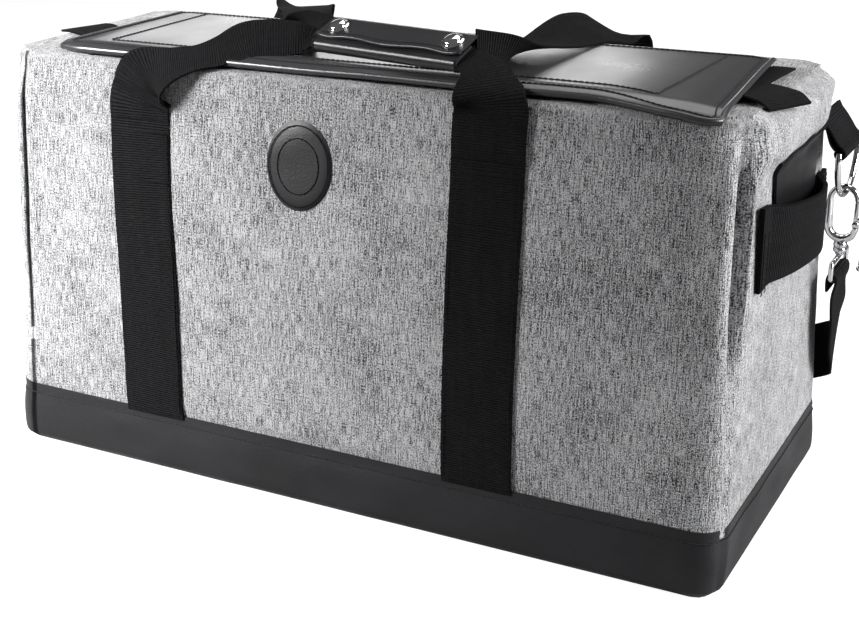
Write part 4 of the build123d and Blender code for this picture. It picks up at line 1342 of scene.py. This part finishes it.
corner_x, corner_y = half_length(80) + 6, half_depth(80) + 6
strap_route = [
    ((RING_X - 2.6, RING_Y, 144.0), (-1, 0, 0)),
    ((RING_X - 3.0, RING_Y, 150.0), (-1, 0, 0)),
    ((RING_X - 2.4, RING_Y, 155.0), (-1, 0, 1)),
    ((RING_X, RING_Y, 156.2), (0, 0, 1)),
    ((RING_X + 2.4, RING_Y, 155.0), (1, 0, 1)),
    ((RING_X + 3.0, RING_Y, 150.0), (1, 0, 0)),
    ((RING_X + 1.2, RING_Y, 141.0), (1, 0, 0)),
    ((RING_X + 1.5, RING_Y + 3, 124.0), (1, 0, 0)),
    ((corner_x + 8, RING_Y + 10, 107.0), (1, 0.05, 0)),
    ((corner_x + 5, corner_y - 15, 90.0), (1, 0.2, 0)),
    ((corner_x - 8, corner_y + 4, 76.0), (0.7, 1, 0)),
    ((corner_x - 36, STRAP_Y + 1.5, 61.0), (0.1, 1, 0)),
    ((226, STRAP_Y + 0.5, 45.0), (0, 1, 0)),
    ((206, STRAP_Y, 34.5), (0, 1, 0)),
    ((196, STRAP_Y, STRAP_Z), (0, 1, 0)),
]
stations = []
for i, (spot, out) in enumerate(strap_route):
    ahead, behind = strap_route[min(i + 1, len(strap_route) - 1)][0], strap_route[max(i - 1, 0)][0]
    run = (Vector(ahead) - Vector(behind)).normalized()
    across = run.cross(Vector(out)).normalized()
    stations.append((*spot, *across, SHOULDER_WIDE))
strap_right = webbing("strap_end_right_webbing", stations, black_webbing, 1.7, 2.4)
strap_left = mirrored(strap_right, "strap_end_left_webbing")
for strap, side, sign in ((strap_right, "right", 1), (strap_left, "left", -1)):
    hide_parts(f"strap_end_{side}")
    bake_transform(strap)

middle = [
    (x, STRAP_Y + 0.25 * sin(x / 37), STRAP_Z + 0.8 * sin(x / 90), 0, 0, 1, SHOULDER_WIDE)
    for x in range(-196, 197, 14)
]
back_strap = webbing("shoulder_strap_webbing", middle, black_webbing, 1.7, 4.0)
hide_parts("shoulder_strap")
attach(back_strap, "bag")


def bent(value, power):
    """A sine or cosine raised to a power with its sign kept, which squares a round section."""
    return math.copysign(abs(value) ** power, value)


def pad_place(u, v):
    """The pad: a quilted outer skin that turns in at each end to a sleeve round the strap."""
    outside = v < 0.5
    t = v * 2 if outside else (1 - v) * 2
    x = (t - 0.5) * 190.0
    angle = 2 * pi * u
    c, s = cos(angle), sin(angle)
    if not outside:
        return (x * 0.995, STRAP_Y + 1.5 * bent(c, 0.3), STRAP_Z + 19.6 * bent(s, 0.3))
    at_end = ease((95 - abs(x)) / 14)
    tall = 25.5 + 4.3 * at_end
    sewn = max(near(abs(x), 45, 4), near(x, 0, 4), near(abs(s), 0.62, 0.12) * 0.8)
    deep = (4.2 + 2.9 * at_end - 2.0 * sewn * at_end) if c > 0 else 2.3
    return (x, STRAP_Y - 0.6 + deep * bent(c, 0.55), STRAP_Z + tall * bent(s, 0.5))


pad = cloth_grid("shoulder_pad_quilted", 72, 160, pad_place, 130, 380)
in_edit(pad, merge, face_out)
smooth(pad, 60)
dress(pad, pad_cloth)
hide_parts("shoulder_pad")
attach(pad, "shoulder_pad")

for name, finish in (
    ("base_board", stiff_board),
    ("zip_slider", dark_metal),
    ("zip_pull", dark_metal),
    ("zip_stops", dark_metal),
    ("snap_studs", chrome),
    ("strap_adjuster", black_plastic),
):
    dress(bpy.data.objects[name], finish)


# ---------------------------------------------------------------- floor, light and camera

bpy.ops.mesh.primitive_plane_add(size=60, location=(0, 0, 0))
floor = bpy.context.object
floor.name = "studio_floor"
floor_finish, floor_tree, floor_shader = new_finish("studio_floor_paper")
# The white glow is for the camera alone, so it adds no light to the bag.
seen = add_node(floor_tree, "LightPath", {}).outputs["Is Camera Ray"]
glow = sums(floor_tree, "MULTIPLY", seen, SEEN_GLOW)
set_shader(floor_tree, floor_shader, Base_Color=(0.3, 0.3, 0.302, 1), Roughness=0.9)
set_shader(floor_tree, floor_shader, Emission_Color=WHITE, Emission_Strength=glow)
dress(floor, floor_finish)


def softbox(name, spot, aim, wide, tall, power, spread_degrees=180):
    light = bpy.data.lights.new(name, "AREA")
    light.shape, light.size, light.size_y, light.energy = "RECTANGLE", wide, tall, power
    light.spread = radians(spread_degrees)
    made = bpy.data.objects.new(name, light)
    bpy.context.collection.objects.link(made)
    made.location = spot
    made.rotation_euler = (Vector(aim) - Vector(spot)).to_track_quat("-Z", "Y").to_euler()


softbox("key_left", (-0.74, -0.62, 0.62), (-0.33, -0.1, 0.16), 0.4, 0.5, 5.3, 60)
softbox("top", (0.1, 0.7, 1.9), (0, 0.1, 0.2), 1.6, 1.0, 16)
softbox("rear_strip", (-1.0, 1.7, 0.72), (0, 0, 0.3), 1.1, 0.5, 4.8)
softbox("right_end", (1.6, 0.1, 0.75), (0.25, 0, 0.15), 0.8, 0.9, 52)
world = bpy.data.worlds.new("studio_air")
world.use_nodes = True
air = world.node_tree
watched = add_node(air, "LightPath", {}).outputs["Is Camera Ray"]
brightness = sums(air, "ADD", sums(air, "MULTIPLY", watched, SEEN_GLOW), 0.1)
set_shader(air, air.nodes["Background"], Color=WHITE, Strength=brightness)
bpy.context.scene.world = world
bpy.context.scene.view_settings.view_transform = "Standard"

AZIMUTH, ELEVATION, ROLL, DISTANCE = radians(28.12), radians(21.28), radians(-1.04), 1.058
target = Vector((0.0191, 0, 0.1042))
back = Vector((sin(AZIMUTH) * cos(ELEVATION), -cos(AZIMUTH) * cos(ELEVATION), sin(ELEVATION)))
right = (-back).cross(Vector((0, 0, 1))).normalized()
up = right.cross(-back)
turned_right = right * cos(ROLL) + up * sin(ROLL)
turned_up = up * cos(ROLL) - right * sin(ROLL)
lens = bpy.data.cameras.new("camera")
lens.lens, lens.sensor_width = 61.3, 36.0
lens.clip_start = 0.01
camera = bpy.data.objects.new("camera", lens)
bpy.context.collection.objects.link(camera)
columns = (turned_right, turned_up, back, target + back * DISTANCE)
camera.matrix_world = Matrix([[column[i] for column in columns] for i in range(3)] + [[0, 0, 0, 1]])
bpy.context.scene.camera = camera
